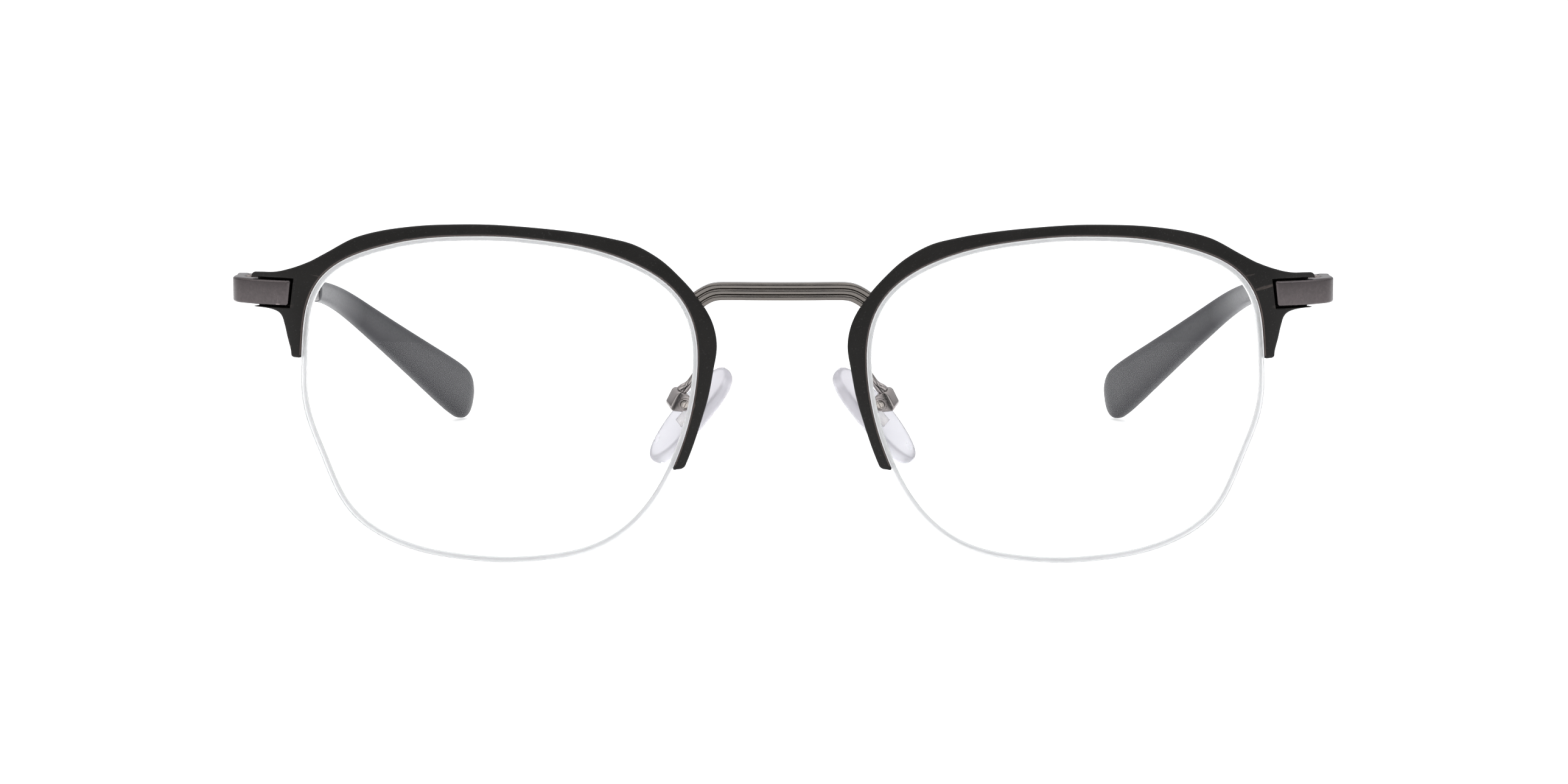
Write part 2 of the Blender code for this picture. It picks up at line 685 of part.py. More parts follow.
# ================================================================== nose pads
SP, PH = math.radians(PAD_SPREAD), math.radians(PAD_SPLAY)
PAD_A = np.array((math.sin(SP), 0.0, -math.cos(SP)))
IN = np.array((-math.cos(SP), 0.0, -math.sin(SP)))
PAD_N = IN * math.cos(PH) + np.array((0.0, math.sin(PH), 0.0))
PAD_W = np.array((0.0, math.cos(PH), 0.0)) - IN * math.sin(PH)
PAD_C = at(PAD_U, PAD_Y, PAD_V)


def pad_point(a, w, n):
    return PAD_C + PAD_A * a + PAD_W * w + PAD_N * n


PAD_PIVOT = pad_point(PAD_AXIS_A, 0, PAD_AXIS_N)
BT = math.radians(BOX_TURN)
BOX_A = PAD_A * math.cos(BT) + PAD_N * math.sin(BT)
BOX_N = PAD_N * math.cos(BT) - PAD_A * math.sin(BT)


def box_point(a, w, h):
    """Point in the pad box, measured from the pad screw's axis."""
    return PAD_PIVOT + BOX_A * a + PAD_W * w + BOX_N * h


def pad_outline(k, n, shrink):
    """D-shaped outline: rounder at the rear, straighter at the front."""
    t = 2 * math.pi * k / n
    a = (PAD_LEN / 2 - shrink) * math.cos(t)
    w = math.sin(t)
    w = (PAD_WIDTH / 2 - shrink) * math.copysign(abs(w) ** (0.75 if w < 0 else 0.95), w)
    return a, w * (1.0 if w > 0 else 0.82)


def nose_pad(side, name):
    n = 28
    top = PAD_BACK + PAD_THICK
    rings = ((1.6, PAD_BACK), (0.35, PAD_BACK), (0.0, PAD_BACK + 0.35), (0.0, PAD_BACK + 0.95), (0.5, PAD_BACK + 1.6),
             (1.5, top - 0.35), (2.6, top - 0.02))
    secs = []
    for shrink, h in rings:
        secs.append([pad_point(*pad_outline(k, n, shrink), h) for k in range(n)])
    ob = emit(name, loft(secs), SILICONE, side, pivot=PAD_PIVOT, smooth=40)
    tool = emit(name + "_seat", box(pad_point(PAD_AXIS_A, 0, PAD_BACK + 0.05), PAD_A, PAD_W, PAD_N, (5.12, 2.52, 0.9)),
                None, side, cutters)
    boolean(ob, tool, "DIFFERENCE")


def pad_insert(side, name):
    ob = emit(name, box(pad_point(PAD_AXIS_A, 0, PAD_BACK + 0.22), PAD_A, PAD_W, PAD_N, (5.0, 2.4, 0.4)),
              STEEL, side, pivot=PAD_PIVOT)
    neck = emit(name + "_neck", box(pad_point(PAD_AXIS_A, 0, (PAD_BACK + 0.2 + PAD_AXIS_N) / 2), PAD_A, PAD_W, PAD_N,
                                    (1.5, 1.2, PAD_BACK + 0.2 - PAD_AXIS_N)), STEEL, side, cutters)
    eye = emit(name + "_eye", cylinder(PAD_PIVOT, PAD_W, 0.8, 1.2, 16), STEEL, side, cutters)
    bore = emit(name + "_bore", cylinder(PAD_PIVOT, PAD_W, PAD_BORE_R, 4.0, 16), None, side, cutters)
    boolean(ob, neck, "UNION")
    boolean(ob, eye, "UNION")
    boolean(ob, bore, "DIFFERENCE")


def pad_arm(side, name):
    """Bent wire arm with the pad box at its end."""
    n = 10
    prof = []
    for k in range(n + 1):
        t = math.pi * (0.5 - k / n) * 1.1
        prof.append((0.84 * math.sin(t), 0.84 * math.cos(t)))
    half, top = BOX_LEN / 2, BOX_BACK
    prof += [(-half, -0.95), (-half, top + 0.45), (-half + 0.45, top),
             (half - 0.45, top), (half, top + 0.45), (half, -0.95)]
    secs = [[box_point(a, w, q) for a, q in prof] for w in (-BOX_HALF_W, BOX_HALF_W)]
    ob = emit(name, loft(secs), GUNMETAL, side, smooth=30)
    slot = emit(name + "_slot", box(box_point(2.27, 0, (top + 0.5) / 2 + 1.0), BOX_A, PAD_W, BOX_N,
                                    (6.5, 2 * BOX_SLOT_HALF_W, 2.0 - (top + 0.5))), None, side, cutters)
    bore = emit(name + "_bore", cylinder(PAD_PIVOT, PAD_W, PAD_BORE_R, 4.0, 16), None, side, cutters)
    wire = tube(name + "_wire", curve_through(ARM_PATH + (tuple(box_point(-1.2, 0, -0.85)),), per=3),
                ARM_R, GUNMETAL, side, cutters)
    boolean(ob, slot, "DIFFERENCE")
    boolean(ob, bore, "DIFFERENCE")
    boolean(ob, wire, "UNION")


def pad_screw(side, name):
    ob = emit(name, cylinder(PAD_PIVOT, PAD_W, PAD_SCREW_R, 2 * BOX_HALF_W + 0.3, 16),
              STEEL, side, smooth=30)
    head = emit(name + "_head", cylinder(box_point(0, -BOX_HALF_W - 0.03 - 0.2, 0), PAD_W, 0.66, 0.4, 16),
                STEEL, side, cutters)
    slot = emit(name + "_slot", box(box_point(0, -BOX_HALF_W - 0.43, 0), BOX_A, PAD_W, BOX_N,
                                    (2.0, 0.36, 0.2)), None, side, cutters)
    boolean(ob, head, "UNION")
    boolean(ob, slot, "DIFFERENCE")


# =================================================================== assembly
for side, wearer in ((-1, "right"), (1, "left")):
    rim(side, wearer + "_rim")
    lens(side, wearer + "_lens")
    liner(side, wearer + "_rim_liner")
    cord(side, wearer + "_nylon_cord")
    emit(wearer + "_endpiece", loft(endpiece_sections()), GUNMETAL, side, smooth=30)
    hinge_leaf(side, wearer + "_hinge_front_leaf", (0, 2), -1)
    hinge_leaf(side, wearer + "_hinge_rear_leaf", (1,), 1, pivot=HINGE)
    hinge_screw(side, wearer + "_hinge_screw")
    temple(side, wearer + "_temple")
    temple_tip(side, wearer + "_temple_tip")
    pad_arm(side, wearer + "_pad_arm")
    pad_screw(side, wearer + "_pad_screw")
    nose_pad(side, wearer + "_nose_pad")
    pad_insert(side, wearer + "_pad_insert")

bpy.context.view_layer.update()
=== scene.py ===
"""Looks of the half rim eyeglasses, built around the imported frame.

The shapes are worked out in millimetres with the same design coordinates as the
parts: u outwards from the nose, y backwards, v upwards from the datum line, for
the wearer's left half, and mirrored for the right.
"""
import math

import bmesh
import bpy
import numpy as np
from mathutils import Matrix, Vector


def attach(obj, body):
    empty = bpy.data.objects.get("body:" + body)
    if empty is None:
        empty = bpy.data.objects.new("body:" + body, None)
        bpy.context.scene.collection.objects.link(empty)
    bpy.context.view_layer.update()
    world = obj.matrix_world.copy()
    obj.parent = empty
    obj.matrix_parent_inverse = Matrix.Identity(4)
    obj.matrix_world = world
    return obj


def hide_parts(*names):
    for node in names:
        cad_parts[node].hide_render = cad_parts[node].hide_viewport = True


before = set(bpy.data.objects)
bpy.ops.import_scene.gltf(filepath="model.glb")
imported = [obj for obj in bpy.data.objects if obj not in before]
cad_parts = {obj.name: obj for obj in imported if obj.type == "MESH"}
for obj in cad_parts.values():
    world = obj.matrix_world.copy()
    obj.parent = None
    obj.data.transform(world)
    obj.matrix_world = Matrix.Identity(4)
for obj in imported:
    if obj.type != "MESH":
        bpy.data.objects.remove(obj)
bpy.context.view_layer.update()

MM = 0.001
# ------------------------------------------------------------------ design data
ORIGIN_Y = -76.873
DATUM_Z = 22.312
FACE_FORM = 5.0
BASE_RADIUS = 125.0

LENS_U, LENS_V = 36.45, -1.3
LENS_RADII = (
    25.05, 25.85, 27.25, 25.75, 23.2, 21.5,
    20.85, 21.15, 22.55, 24.75, 26.8, 26.5,
    25.1, 24.2, 23.85, 23.5, 22.55, 21.35,
    20.9, 21.25, 22.4, 23.75, 24.05, 24.05)
LENS_THICK = 1.9
GROOVE_DEPTH = 0.56
GROOVE_WIDTH = 0.62

RIM_THICK = 2.2
RIM_GAP = 0.03
LENS_INSET = 0.03
RIM_START, RIM_END = 11.4, 200.75
RIM_WIDTH = ((10, 1.3), (13, 1.42), (17, 2.04), (22, 2.7), (28, 2.7),
             (34, 2.42), (40, 1.9), (47, 2.04), (54, 1.94), (62, 1.72),
             (72, 1.56), (84, 1.49), (96, 1.43), (108, 1.53), (118, 1.68),
             (126, 1.92), (133, 2.21), (140, 2.05), (147, 1.73), (153, 1.86),
             (160, 2.4), (165, 2.46), (171, 2.0), (178, 1.73), (186, 1.43),
             (194, 1.34), (201, 1.3))
CHANNEL_DEPTH = 0.56
CHANNEL_WIDTH = 0.62

LINER_WIDTH = 0.50
LINER_START, LINER_END = 24.0, 184.0
CORD_R = 0.25
CORD_HOLE_R = 0.31
CORD_HOLES = (14.5, 191.5)

END_HEIGHT = 3.3
END_THICK = 1.6
END_V = 11.98
END_START_U = 62.9
SEAT_SIDE, SEAT_END, SEAT_BACK = 0.26, 0.4, 0.06

HINGE_U, HINGE_Y, HINGE_V = 67.8, 15.0, 12.1
BARREL_R = 1.15
KNUCKLE = 0.9
KNUCKLE_GAP = 0.05
HINGE_BORE_R = 0.75
HINGE_SCREW_R = 0.70
LEAF_THICK = 0.6
LEAF_LEN = 2.0
LEAF_OFFSET = 1.3

TEMPLE_U = 70.2
TEMPLE_LEN = 145.8
YAW0, YAW1, YAW_S, YAW_W = 1.4, 15.6, 68.8, 28.8
PITCH0, PITCH1, PITCH_S, PITCH_W = 6.24, 15.7, 70.6, 29.7
TIP_START = 72.0
BAR = ((0.05, 1.65, 0.80), (4.0, 1.65, 0.80), (71.95, 1.30, 0.60))
CORE_END = 134.0
CORE_R = 0.55
BORE_R = 0.63
TIP = ((72.0, 1.48, 0.98), (76.0, 1.53, 1.02), (84.0, 1.66, 1.08),
       (94.0, 1.98, 1.18), (104.0, 2.4, 1.28), (114.0, 2.88, 1.4),
       (124.0, 3.42, 1.53), (134.0, 3.95, 1.65), (139.8, 4.1, 1.6),
       (142.8, 3.75, 1.45), (144.7, 3.05, 1.15), (145.6, 2.0, 0.7))

PAD_U, PAD_Y, PAD_V = 11.45, 7.5, -4.2
PAD_SPREAD = 40.0
PAD_SPLAY = 24.0
PAD_LEN, PAD_WIDTH, PAD_THICK = 15.2, 7.8, 2.5
PAD_BACK = -1.2
PAD_AXIS_A, PAD_AXIS_N = -0.76, -2.8
PAD_BORE_R = 0.48
PAD_SCREW_R = 0.42
BOX_TURN = 15.0
BOX_LEN, BOX_BACK = 2.7, -1.65
BOX_HALF_W = 1.11
BOX_SLOT_HALF_W = 0.66
ARM_R = 0.45
ARM_PATH = ((9.65, 2.25, 4.2), (9.65, 3.3, 4.1), (10.0, 4.4, 3.5),
            (10.7, 5.2, 2.4), (11.45, 5.7, 1.2), (12.2, 5.95, 0.2))

BRIDGE_PATH = ((0.0, 1.0, 12.77), (3.5, 1.0, 12.78), (6.8, 1.08, 12.8),
               (8.15, 1.25, 12.75), (9.05, 1.45, 12.55), (9.95, 1.65, 12.1),
               (10.75, 1.8, 11.55), (11.45, 1.92, 11.05))
BRIDGE_HEIGHT = 2.25
BRIDGE_THICK = 1.7
RIBS = 3


# ==================================================================== materials
class Shader:
    """A Principled material with its texture nodes laid out step by step."""

    def __init__(self, name, rgb, rough, metal=0.0, **extra):
        self.mat = bpy.data.materials.new(name)
        self.mat.use_nodes = True
        self.nt = self.mat.node_tree
        self.bsdf = self.nt.nodes["Principled BSDF"]
        self.bsdf.inputs["Base Color"].default_value = (*rgb, 1.0)
        self.bsdf.inputs["Roughness"].default_value = rough
        self.bsdf.inputs["Metallic"].default_value = metal
        for key, value in extra.items():
            self.bsdf.inputs[key.replace("_", " ")].default_value = value
        self.rgb, self.rough = rgb, rough
        self.coord = self.nt.nodes.new("ShaderNodeTexCoord")
        self.normal = None

    def node(self, kind, **values):
        n = self.nt.nodes.new("ShaderNode" + kind)
        for k, v in values.items():
            if hasattr(n, k):
                setattr(n, k, v)
            else:
                n.inputs[k].default_value = v
        return n

    def link(self, a, b):
        self.nt.links.new(a, b)

    def noise(self, size_mm, detail=3.0, rough=0.55, stretch=(1, 1, 1), distort=0.0):
        """Noise whose features are about size_mm across."""
        m = self.node("Mapping")
        k = 1000.0 / size_mm
        m.inputs["Scale"].default_value = (k * stretch[0], k * stretch[1], k * stretch[2])
        self.link(self.coord.outputs["Object"], m.inputs["Vector"])
        n = self.node("TexNoise")
        n.inputs["Scale"].default_value = 1.0
        n.inputs["Detail"].default_value = detail
        n.inputs["Roughness"].default_value = rough
        n.inputs["Distortion"].default_value = distort
        self.link(m.outputs["Vector"], n.inputs["Vector"])
        return n.outputs["Fac"]

    def ramp(self, fac, stops):
        r = self.node("ValToRGB")
        e = r.color_ramp.elements
        while len(e) > 1:
            e.remove(e[-1])
        for i, (pos, col) in enumerate(stops):
            s = e[0] if i == 0 else e.new(pos)
            s.position = pos
            s.color = (*col, 1.0) if len(col) == 3 else col
        self.link(fac, r.inputs["Fac"])
        return r.outputs["Color"]

    def mix(self, fac, a, b):
        m = self.node("Mix")
        m.data_type = "RGBA"
        if hasattr(fac, "is_output"):
            self.link(fac, m.inputs[0])
        else:
            m.inputs[0].default_value = fac
        for sock, v in ((m.inputs[6], a), (m.inputs[7], b)):
            if hasattr(v, "is_output"):
                self.link(v, sock)
            else:
                sock.default_value = (*v, 1.0)
        return m.outputs[2]

    def span(self, fac, lo, hi, a=0.3, b=0.7):
        m = self.node("MapRange")
        m.inputs["From Min"].default_value = a
        m.inputs["From Max"].default_value = b
        m.inputs["To Min"].default_value = lo
        m.inputs["To Max"].default_value = hi
        self.link(fac, m.inputs["Value"])
        return m.outputs["Result"]

    def color(self, out):
        self.link(out, self.bsdf.inputs["Base Color"])

    def roughness(self, out):
        self.link(out, self.bsdf.inputs["Roughness"])

    def bump(self, height, depth_mm, strength=1.0):
        b = self.node("Bump")
        b.inputs["Strength"].default_value = strength
        b.inputs["Distance"].default_value = depth_mm * MM
        self.link(height, b.inputs["Height"])
        if self.normal is not None:
            self.link(self.normal, b.inputs["Normal"])
        self.normal = b.outputs["Normal"]
        self.link(self.normal, self.bsdf.inputs["Normal"])

    def abrasion_and_painted_edge_highlight(self, rgb, lo=0.53, hi=0.6, break_mm=0.8):
        """Thin lighter line on convex edges, broken up by noise: partly abrasion, partly a painted highlight."""
        g = self.node("NewGeometry")
        edge = self.span(g.outputs["Pointiness"], 0.0, 1.0, lo, hi)
        patch = self.span(self.noise(break_mm, 2.0), 0.35, 1.0, 0.35, 0.6)
        m = self.node("Math", operation="MULTIPLY")
        self.link(edge, m.inputs[0])
        self.link(patch, m.inputs[1])
        return m.outputs["Value"]


def scaled(rgb, k):
    return tuple(c * k for c in rgb)


def black_paint():
    s = Shader("rim_black", (0.008, 0.0074, 0.0068), 0.42, 0.0, Specular_IOR_Level=0.2)
    grain = s.noise(0.10, 4.0, 0.6)
    cloud = s.noise(5.0, 3.0)
    base = s.ramp(cloud, ((0.3, (0.0068, 0.0063, 0.0058)), (0.7, (0.0090, 0.0082, 0.0075))))
    speck = s.ramp(s.noise(0.22, 2.0, 0.5), ((0.62, (0, 0, 0)), (0.72, (1, 1, 1))))
    base = s.mix(0.012, base, speck)
    # Lighter brownish line along the rim's edges: partly abrasion, partly a painted highlight of the lit edges.
    abraded_and_lit_edge = s.abrasion_and_painted_edge_highlight((0.05, 0.04, 0.035))
    s.color(s.mix(abraded_and_lit_edge, base, (0.05, 0.041, 0.037)))
    s.roughness(s.span(cloud, 0.40, 0.49))
    s.bump(grain, 0.0022, 0.4)
    return s.mat


# Inner wall of the rim: its brownish tone is a painted reflection of the lens edges.
def rim_wall_painted_reflection():
    s = Shader("rim_wall_painted_reflection", (0.045, 0.03, 0.026), 0.42, 0.0)
    cloud = s.noise(1.6, 3.0)
    s.color(s.ramp(cloud, ((0.3, (0.036, 0.023, 0.019)), (0.7, (0.062, 0.043, 0.037)))))
    s.roughness(s.span(s.noise(0.4, 3.0), 0.36, 0.5))
    s.bump(s.noise(0.09, 4.0, 0.6), 0.003, 0.5)
    return s.mat


def satin_metal(name, rgb, rough, warm=0.08, grain_mm=0.09, depth=0.004, edge=1.7):
    s = Shader(name, rgb, rough, 1.0)
    cloud = s.noise(2.6, 3.0)
    base = s.mix(cloud, scaled(rgb, 0.9), (rgb[0] * (1.12 + warm), rgb[1] * 1.08, rgb[2] * 1.1))
    mottled = s.noise(0.42, 3.0, 0.6)
    base = s.mix(s.span(mottled, 0.0, 0.5, 0.35, 0.7), base, scaled(rgb, 0.78))
    # Lighter line along convex edges, the base colour times edge: partly abrasion, partly a painted highlight.
    abraded_and_lit_edge = s.abrasion_and_painted_edge_highlight(rgb, 0.515, 0.58, 0.5)
    s.color(s.mix(abraded_and_lit_edge, base, (min(rgb[0] * edge, 1), min(rgb[1] * edge * 0.96, 1), min(rgb[2] * edge * 0.95, 1))))
    s.roughness(s.span(mottled, rough * 0.86, rough * 1.14))
    s.bump(s.noise(grain_mm, 3.0, 0.65), depth, 0.6)
    return s.mat


def polished_metal(name, rgb, rough, along=(1, 1, 1)):
    s = Shader(name, rgb, rough, 1.0)
    cloud = s.noise(3.5, 2.0)
    s.color(s.mix(cloud, scaled(rgb, 0.9), (rgb[0] * 1.14, rgb[1] * 1.1, rgb[2] * 1.04)))
    line = s.noise(0.16, 3.0, 0.6, stretch=along)
    s.roughness(s.span(line, rough * 0.7, rough * 1.4))
    s.bump(line, 0.0016, 0.35)
    return s.mat


def clear_lens():
    s = Shader("lens_clear", (0.985, 0.995, 0.992), 0.0, 0.0, IOR=1.15, Transmission_Weight=1.0)
    s.color(s.ramp(s.noise(9.0, 3.0), ((0.3, (0.980, 0.990, 0.987)), (0.7, (0.990, 0.996, 0.994)))))
    return s.mat


def lens_edge():
    """Ground edge and groove of the lens: fine matt grinding lines."""
    s = Shader("lens_edge", (0.95, 0.955, 0.96), 0.3, 0.0, IOR=1.4, Transmission_Weight=0.4,
               Specular_IOR_Level=0.3)
    grind = s.noise(0.07, 3.0, 0.6, stretch=(1, 0.25, 1))
    s.color(s.ramp(grind, ((0.3, (0.93, 0.935, 0.945)), (0.7, (0.975, 0.977, 0.98)))))
    s.roughness(s.span(grind, 0.3, 0.5))
    s.bump(grind, 0.002, 0.4)
    return s.mat


def nylon():
    s = Shader("nylon_clear", (0.96, 0.96, 0.965), 0.28, 0.0, IOR=1.4, Transmission_Weight=0.35,
               Specular_IOR_Level=0.35)
    milk = s.noise(0.9, 3.0)
    s.color(s.ramp(milk, ((0.3, (0.94, 0.942, 0.95)), (0.7, (0.975, 0.975, 0.98)))))
    s.roughness(s.span(milk, 0.22, 0.36))
    s.bump(s.noise(0.2, 2.0), 0.002, 0.3)
    return s.mat


def tip_plastic():
    s = Shader("tip_plastic", (0.046, 0.046, 0.050), 0.34, 0.0, Specular_IOR_Level=0.10)
    cloud = s.noise(7.0, 3.0, 0.5, stretch=(1, 0.4, 1), distort=0.4)
    body = s.ramp(cloud, ((0.25, (0.026, 0.0255, 0.030)), (0.75, (0.036, 0.035, 0.040))))
    xyz = s.node("SeparateXYZ")
    s.link(s.coord.outputs["Object"], xyz.inputs[0])
    fade = s.span(xyz.outputs["Y"], 1.0, 0.0, 0.022, 0.032)
    s.color(s.mix(fade, body, (0.13, 0.13, 0.137)))
    fine = s.noise(0.35, 4.0, 0.6)
    s.roughness(s.span(fine, 0.28, 0.42))
    s.bump(s.noise(0.13, 3.0), 0.003, 0.4)
    return s.mat


def silicone():
    s = Shader("pad_silicone", (0.78, 0.77, 0.81), 0.22, 0.0, IOR=1.36, Transmission_Weight=0.6)
    haze = s.noise(3.0, 3.0)
    s.color(s.ramp(haze, ((0.3, (0.755, 0.745, 0.79)), (0.7, (0.80, 0.79, 0.83)))))
    s.roughness(s.span(haze, 0.18, 0.28))
    s.bump(s.noise(1.2, 2.0), 0.003, 0.12)
    return s.mat


BLACK = black_paint()
WALL = rim_wall_painted_reflection()
# edge=3.2 paints a strong highlight along the endpiece's edges.
ENDPIECE = satin_metal("endpiece_satin", (0.092, 0.083, 0.084), 0.3, 0.02, edge=3.2)
TEMPLE_METAL = satin_metal("temple_satin", (0.18, 0.170, 0.172), 0.33, 0.01)
HINGE_METAL = satin_metal("hinge_satin", (0.22, 0.205, 0.20), 0.3, 0.02, 0.12, 0.003)
BRIDGE_METAL = polished_metal("bridge_polished", (0.140, 0.131, 0.125), 0.22, (0.12, 1, 1))
BOX_METAL = polished_metal("pad_arm_polished", (0.27, 0.25, 0.252), 0.2)
STEEL = polished_metal("screw_steel", (0.38, 0.355, 0.34), 0.2)
INSERT = satin_metal("insert_steel", (0.80, 0.80, 0.81), 0.3, 0.0, 0.15, 0.003, 1.2)
LENS = clear_lens()
LENS_EDGE = lens_edge()
NYLON = nylon()
TIP_MAT = tip_plastic()
SILICONE = silicone()


# ============================================================== design geometry
def mixed(table, t, k=1):
    ts = [row[0] for row in table]
    vs = [row[k] for row in table]
    t = min(max(t, ts[0]), ts[-1])
    i = max(j for j in range(len(ts) - 1) if ts[j] <= t)
    slopes = []
    for j in (i, i + 1):
        lo, hi = max(j - 1, 0), min(j + 1, len(ts) - 1)
        slopes.append((vs[hi] - vs[lo]) / (ts[hi] - ts[lo]))
    h = ts[i + 1] - ts[i]
    x = (t - ts[i]) / h
    return ((2 * x**3 - 3 * x**2 + 1) * vs[i] + (x**3 - 2 * x**2 + x) * h * slopes[0]
            + (3 * x**2 - 2 * x**3) * vs[i + 1] + (x**3 - x**2) * h * slopes[1])


def curve_through(points, per=4):
    p = [np.array(q, float) for q in points]
    p = [2 * p[0] - p[1]] + p + [2 * p[-1] - p[-2]]
    out = []
    for i in range(1, len(p) - 2):
        for k in range(per):
            t = k / per
            out.append(0.5 * (2 * p[i] + (p[i + 1] - p[i - 1]) * t
                              + (2 * p[i - 1] - 5 * p[i] + 4 * p[i + 1] - p[i + 2]) * t * t
                              + (3 * p[i] - p[i - 1] - 3 * p[i + 1] + p[i + 2]) * t**3))
    out.append(p[-2])
    return out


def unit(v):
    v = np.array(v, float)
    return v / np.linalg.norm(v)


SPECTRUM = np.fft.rfft(np.array(LENS_RADII)) / len(LENS_RADII)


def lens_radius(deg):
    a = math.radians(deg)
    r = SPECTRUM[0].real
    for k in range(1, len(SPECTRUM)):
        w = 2.0 if k < len(LENS_RADII) / 2 else 1.0
        r += w * (SPECTRUM[k].real * math.cos(k * a) - SPECTRUM[k].imag * math.sin(k * a))
    return r


def front(u, v):
    du, dv = u - 35.4, v + 1.0
    lug = 0.02 * max(u - 60.5, 0.0) ** 2
    return 1.0 + du * math.tan(math.radians(FACE_FORM)) + (du * du + dv * dv) / (2 * BASE_RADIUS) + lug


def at(u, y, v):
    return np.array((u, y, v), float)


def surface_point(u, v):
    return at(u, front(u, v), v)


def surface_normal(u, v):
    e = 0.01
    return unit((-(front(u + e, v) - front(u - e, v)) / (2 * e), 1.0,
                 -(front(u, v + e) - front(u, v - e)) / (2 * e)))


def lens_uv(deg, scale=1.0):
    a = math.radians(deg)
    r = lens_radius(deg) * scale
    return LENS_U + r * math.cos(a), LENS_V + r * math.sin(a)


def edge_frame(deg):
    p = surface_point(*lens_uv(deg))
    t = unit(surface_point(*lens_uv(deg + 0.5)) - surface_point(*lens_uv(deg - 0.5)))
    n = surface_normal(p[0], p[2])
    return p, unit(np.cross(n, t)), n


def edge_point(deg, out, depth=0.0):
    p, o, n = edge_frame(deg)
    return p + o * out + n * depth


def ease(t):
    t = min(max(t, 0.0), 1.0)
    return t * t * t * (t * (6 * t - 15) + 10)


def temple_dir(s):
    yaw = math.radians(YAW0 + YAW1 * ease((s - YAW_S) / YAW_W))
    pitch = math.radians(PITCH0 + PITCH1 * ease((s - PITCH_S) / PITCH_W))
    d = np.array((-math.cos(pitch) * math.sin(yaw), math.cos(pitch) * math.cos(yaw), -math.sin(pitch)))
    side = np.array((math.cos(yaw), math.sin(yaw), 0.0))
    return d, side, np.cross(side, d)


def temple_frames(step=0.5):
    n = int(round(TEMPLE_LEN / step))
    p = at(TEMPLE_U, HINGE_Y, HINGE_V)
    rows = []
    for i in range(n + 1):
        s = i * step
        rows.append((s, p.copy(), *temple_dir(s)))
        p = p + temple_dir(s + step / 2)[0] * step
    return rows


TEMPLE = temple_frames()


def temple_at(s):
    i = min(int(s / 0.5), len(TEMPLE) - 1)
    s0, p, d, side, up = TEMPLE[i]
    d, side, up = temple_dir(s)
    return p + d * (s - s0), d, side, up


# ================================================================= mesh helpers
def place(x):
    return Vector((x[0], x[1] + ORIGIN_Y, x[2] + DATUM_Z)) * MM


def loft(sections, closed=False, mats=None):
    """Rows of points joined into a closed body. mats(i, j) picks a face's slot."""
    bm = bmesh.new()
    rows = [[bm.verts.new(p) for p in sec] for sec in sections]
    n = len(rows[0])
    pairs = list(zip(rows, rows[1:])) + ([(rows[-1], rows[0])] if closed else [])
    for k, (a, b) in enumerate(pairs):
        for i in range(n):
            j = (i + 1) % n
            f = bm.faces.new((a[i], a[j], b[j], b[i]))
            if mats:
                f.material_index = mats(k, i)
    if not closed:
        for row, flip in ((rows[0], True), (rows[-1], False)):
            c = bm.verts.new(sum((v.co for v in row), Vector()) / n)
            for i in range(n):
                j = (i + 1) % n
                bm.faces.new((c, row[j], row[i]) if flip else (c, row[i], row[j]))
    bmesh.ops.recalc_face_normals(bm, faces=bm.faces)
    return bm


PIECES = []


def to_object(name, bm, mats, side=1, smooth=40.0):
    if side < 0:
        bmesh.ops.transform(bm, matrix=Matrix.Diagonal((-1, 1, 1, 1)), verts=bm.verts)
        bmesh.ops.reverse_faces(bm, faces=bm.faces)
    for v in bm.verts:
        v.co = place(v.co)
    me = bpy.data.meshes.new(name)
    bm.to_mesh(me)
    bm.free()
    for m in mats if isinstance(mats, (list, tuple)) else [mats]:
        me.materials.append(m)
    ob = bpy.data.objects.new(name, me)
    bpy.context.scene.collection.objects.link(ob)
    me.shade_smooth()
    if smooth:
        me.set_sharp_from_angle(angle=math.radians(smooth))
    return ob


def carve(ob, tools, bevel=None, segments=3, smooth=40.0, angle=35.0, own=False):
    """Applies the booleans (tool, operation), then an optional bevel, to ob's mesh."""
    for tool, op in tools:
        m = ob.modifiers.new("b", "BOOLEAN")
        m.operation = op
        m.object = tool
        m.solver = "EXACT"
        m.use_self = own
    if bevel:
        w = ob.modifiers.new("weld", "WELD")
        w.merge_threshold = 0.00002
        b = ob.modifiers.new("bevel", "BEVEL")
        b.width = bevel * MM
        b.segments = segments
        b.limit_method = "ANGLE"
        b.angle_limit = math.radians(angle)
        b.use_clamp_overlap = True
    dg = bpy.context.evaluated_depsgraph_get()
    me = bpy.data.meshes.new_from_object(ob.evaluated_get(dg))
    me.name = ob.name
    ob.modifiers.clear()
    old = ob.data
    ob.data = me
    bpy.data.meshes.remove(old)
    for tool, _ in tools:
        bpy.data.objects.remove(tool, do_unlink=True)
    bm = bmesh.new()
    bm.from_mesh(me)
    bmesh.ops.remove_doubles(bm, verts=bm.verts, dist=0.0000008)
    bmesh.ops.dissolve_degenerate(bm, edges=bm.edges, dist=0.0000005)
    bm.to_mesh(me)
    bm.free()
    me.shade_smooth()
    me.set_sharp_from_angle(angle=math.radians(smooth))
    return ob


def piece(ob, body, node):
    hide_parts(node)
    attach(ob, body)
    PIECES.append(ob)
    return ob


def axes(origin, x, y, z):
    m = Matrix.Identity(4)
    for i, col in enumerate((x, y, z, origin)):
        for r in range(3):
            m[r][i] = float(col[r])
    return m


def box_bm(origin, x, y, z, size, cuts=0):
    bm = bmesh.new()
    bmesh.ops.create_cube(bm, size=1.0)
    if cuts:
        bmesh.ops.subdivide_edges(bm, edges=bm.edges, cuts=cuts, use_grid_fill=True)
    bmesh.ops.transform(bm, matrix=axes(origin, x, y, z) @ Matrix.Diagonal((*size, 1)), verts=bm.verts)
    bmesh.ops.recalc_face_normals(bm, faces=bm.faces)
    return bm


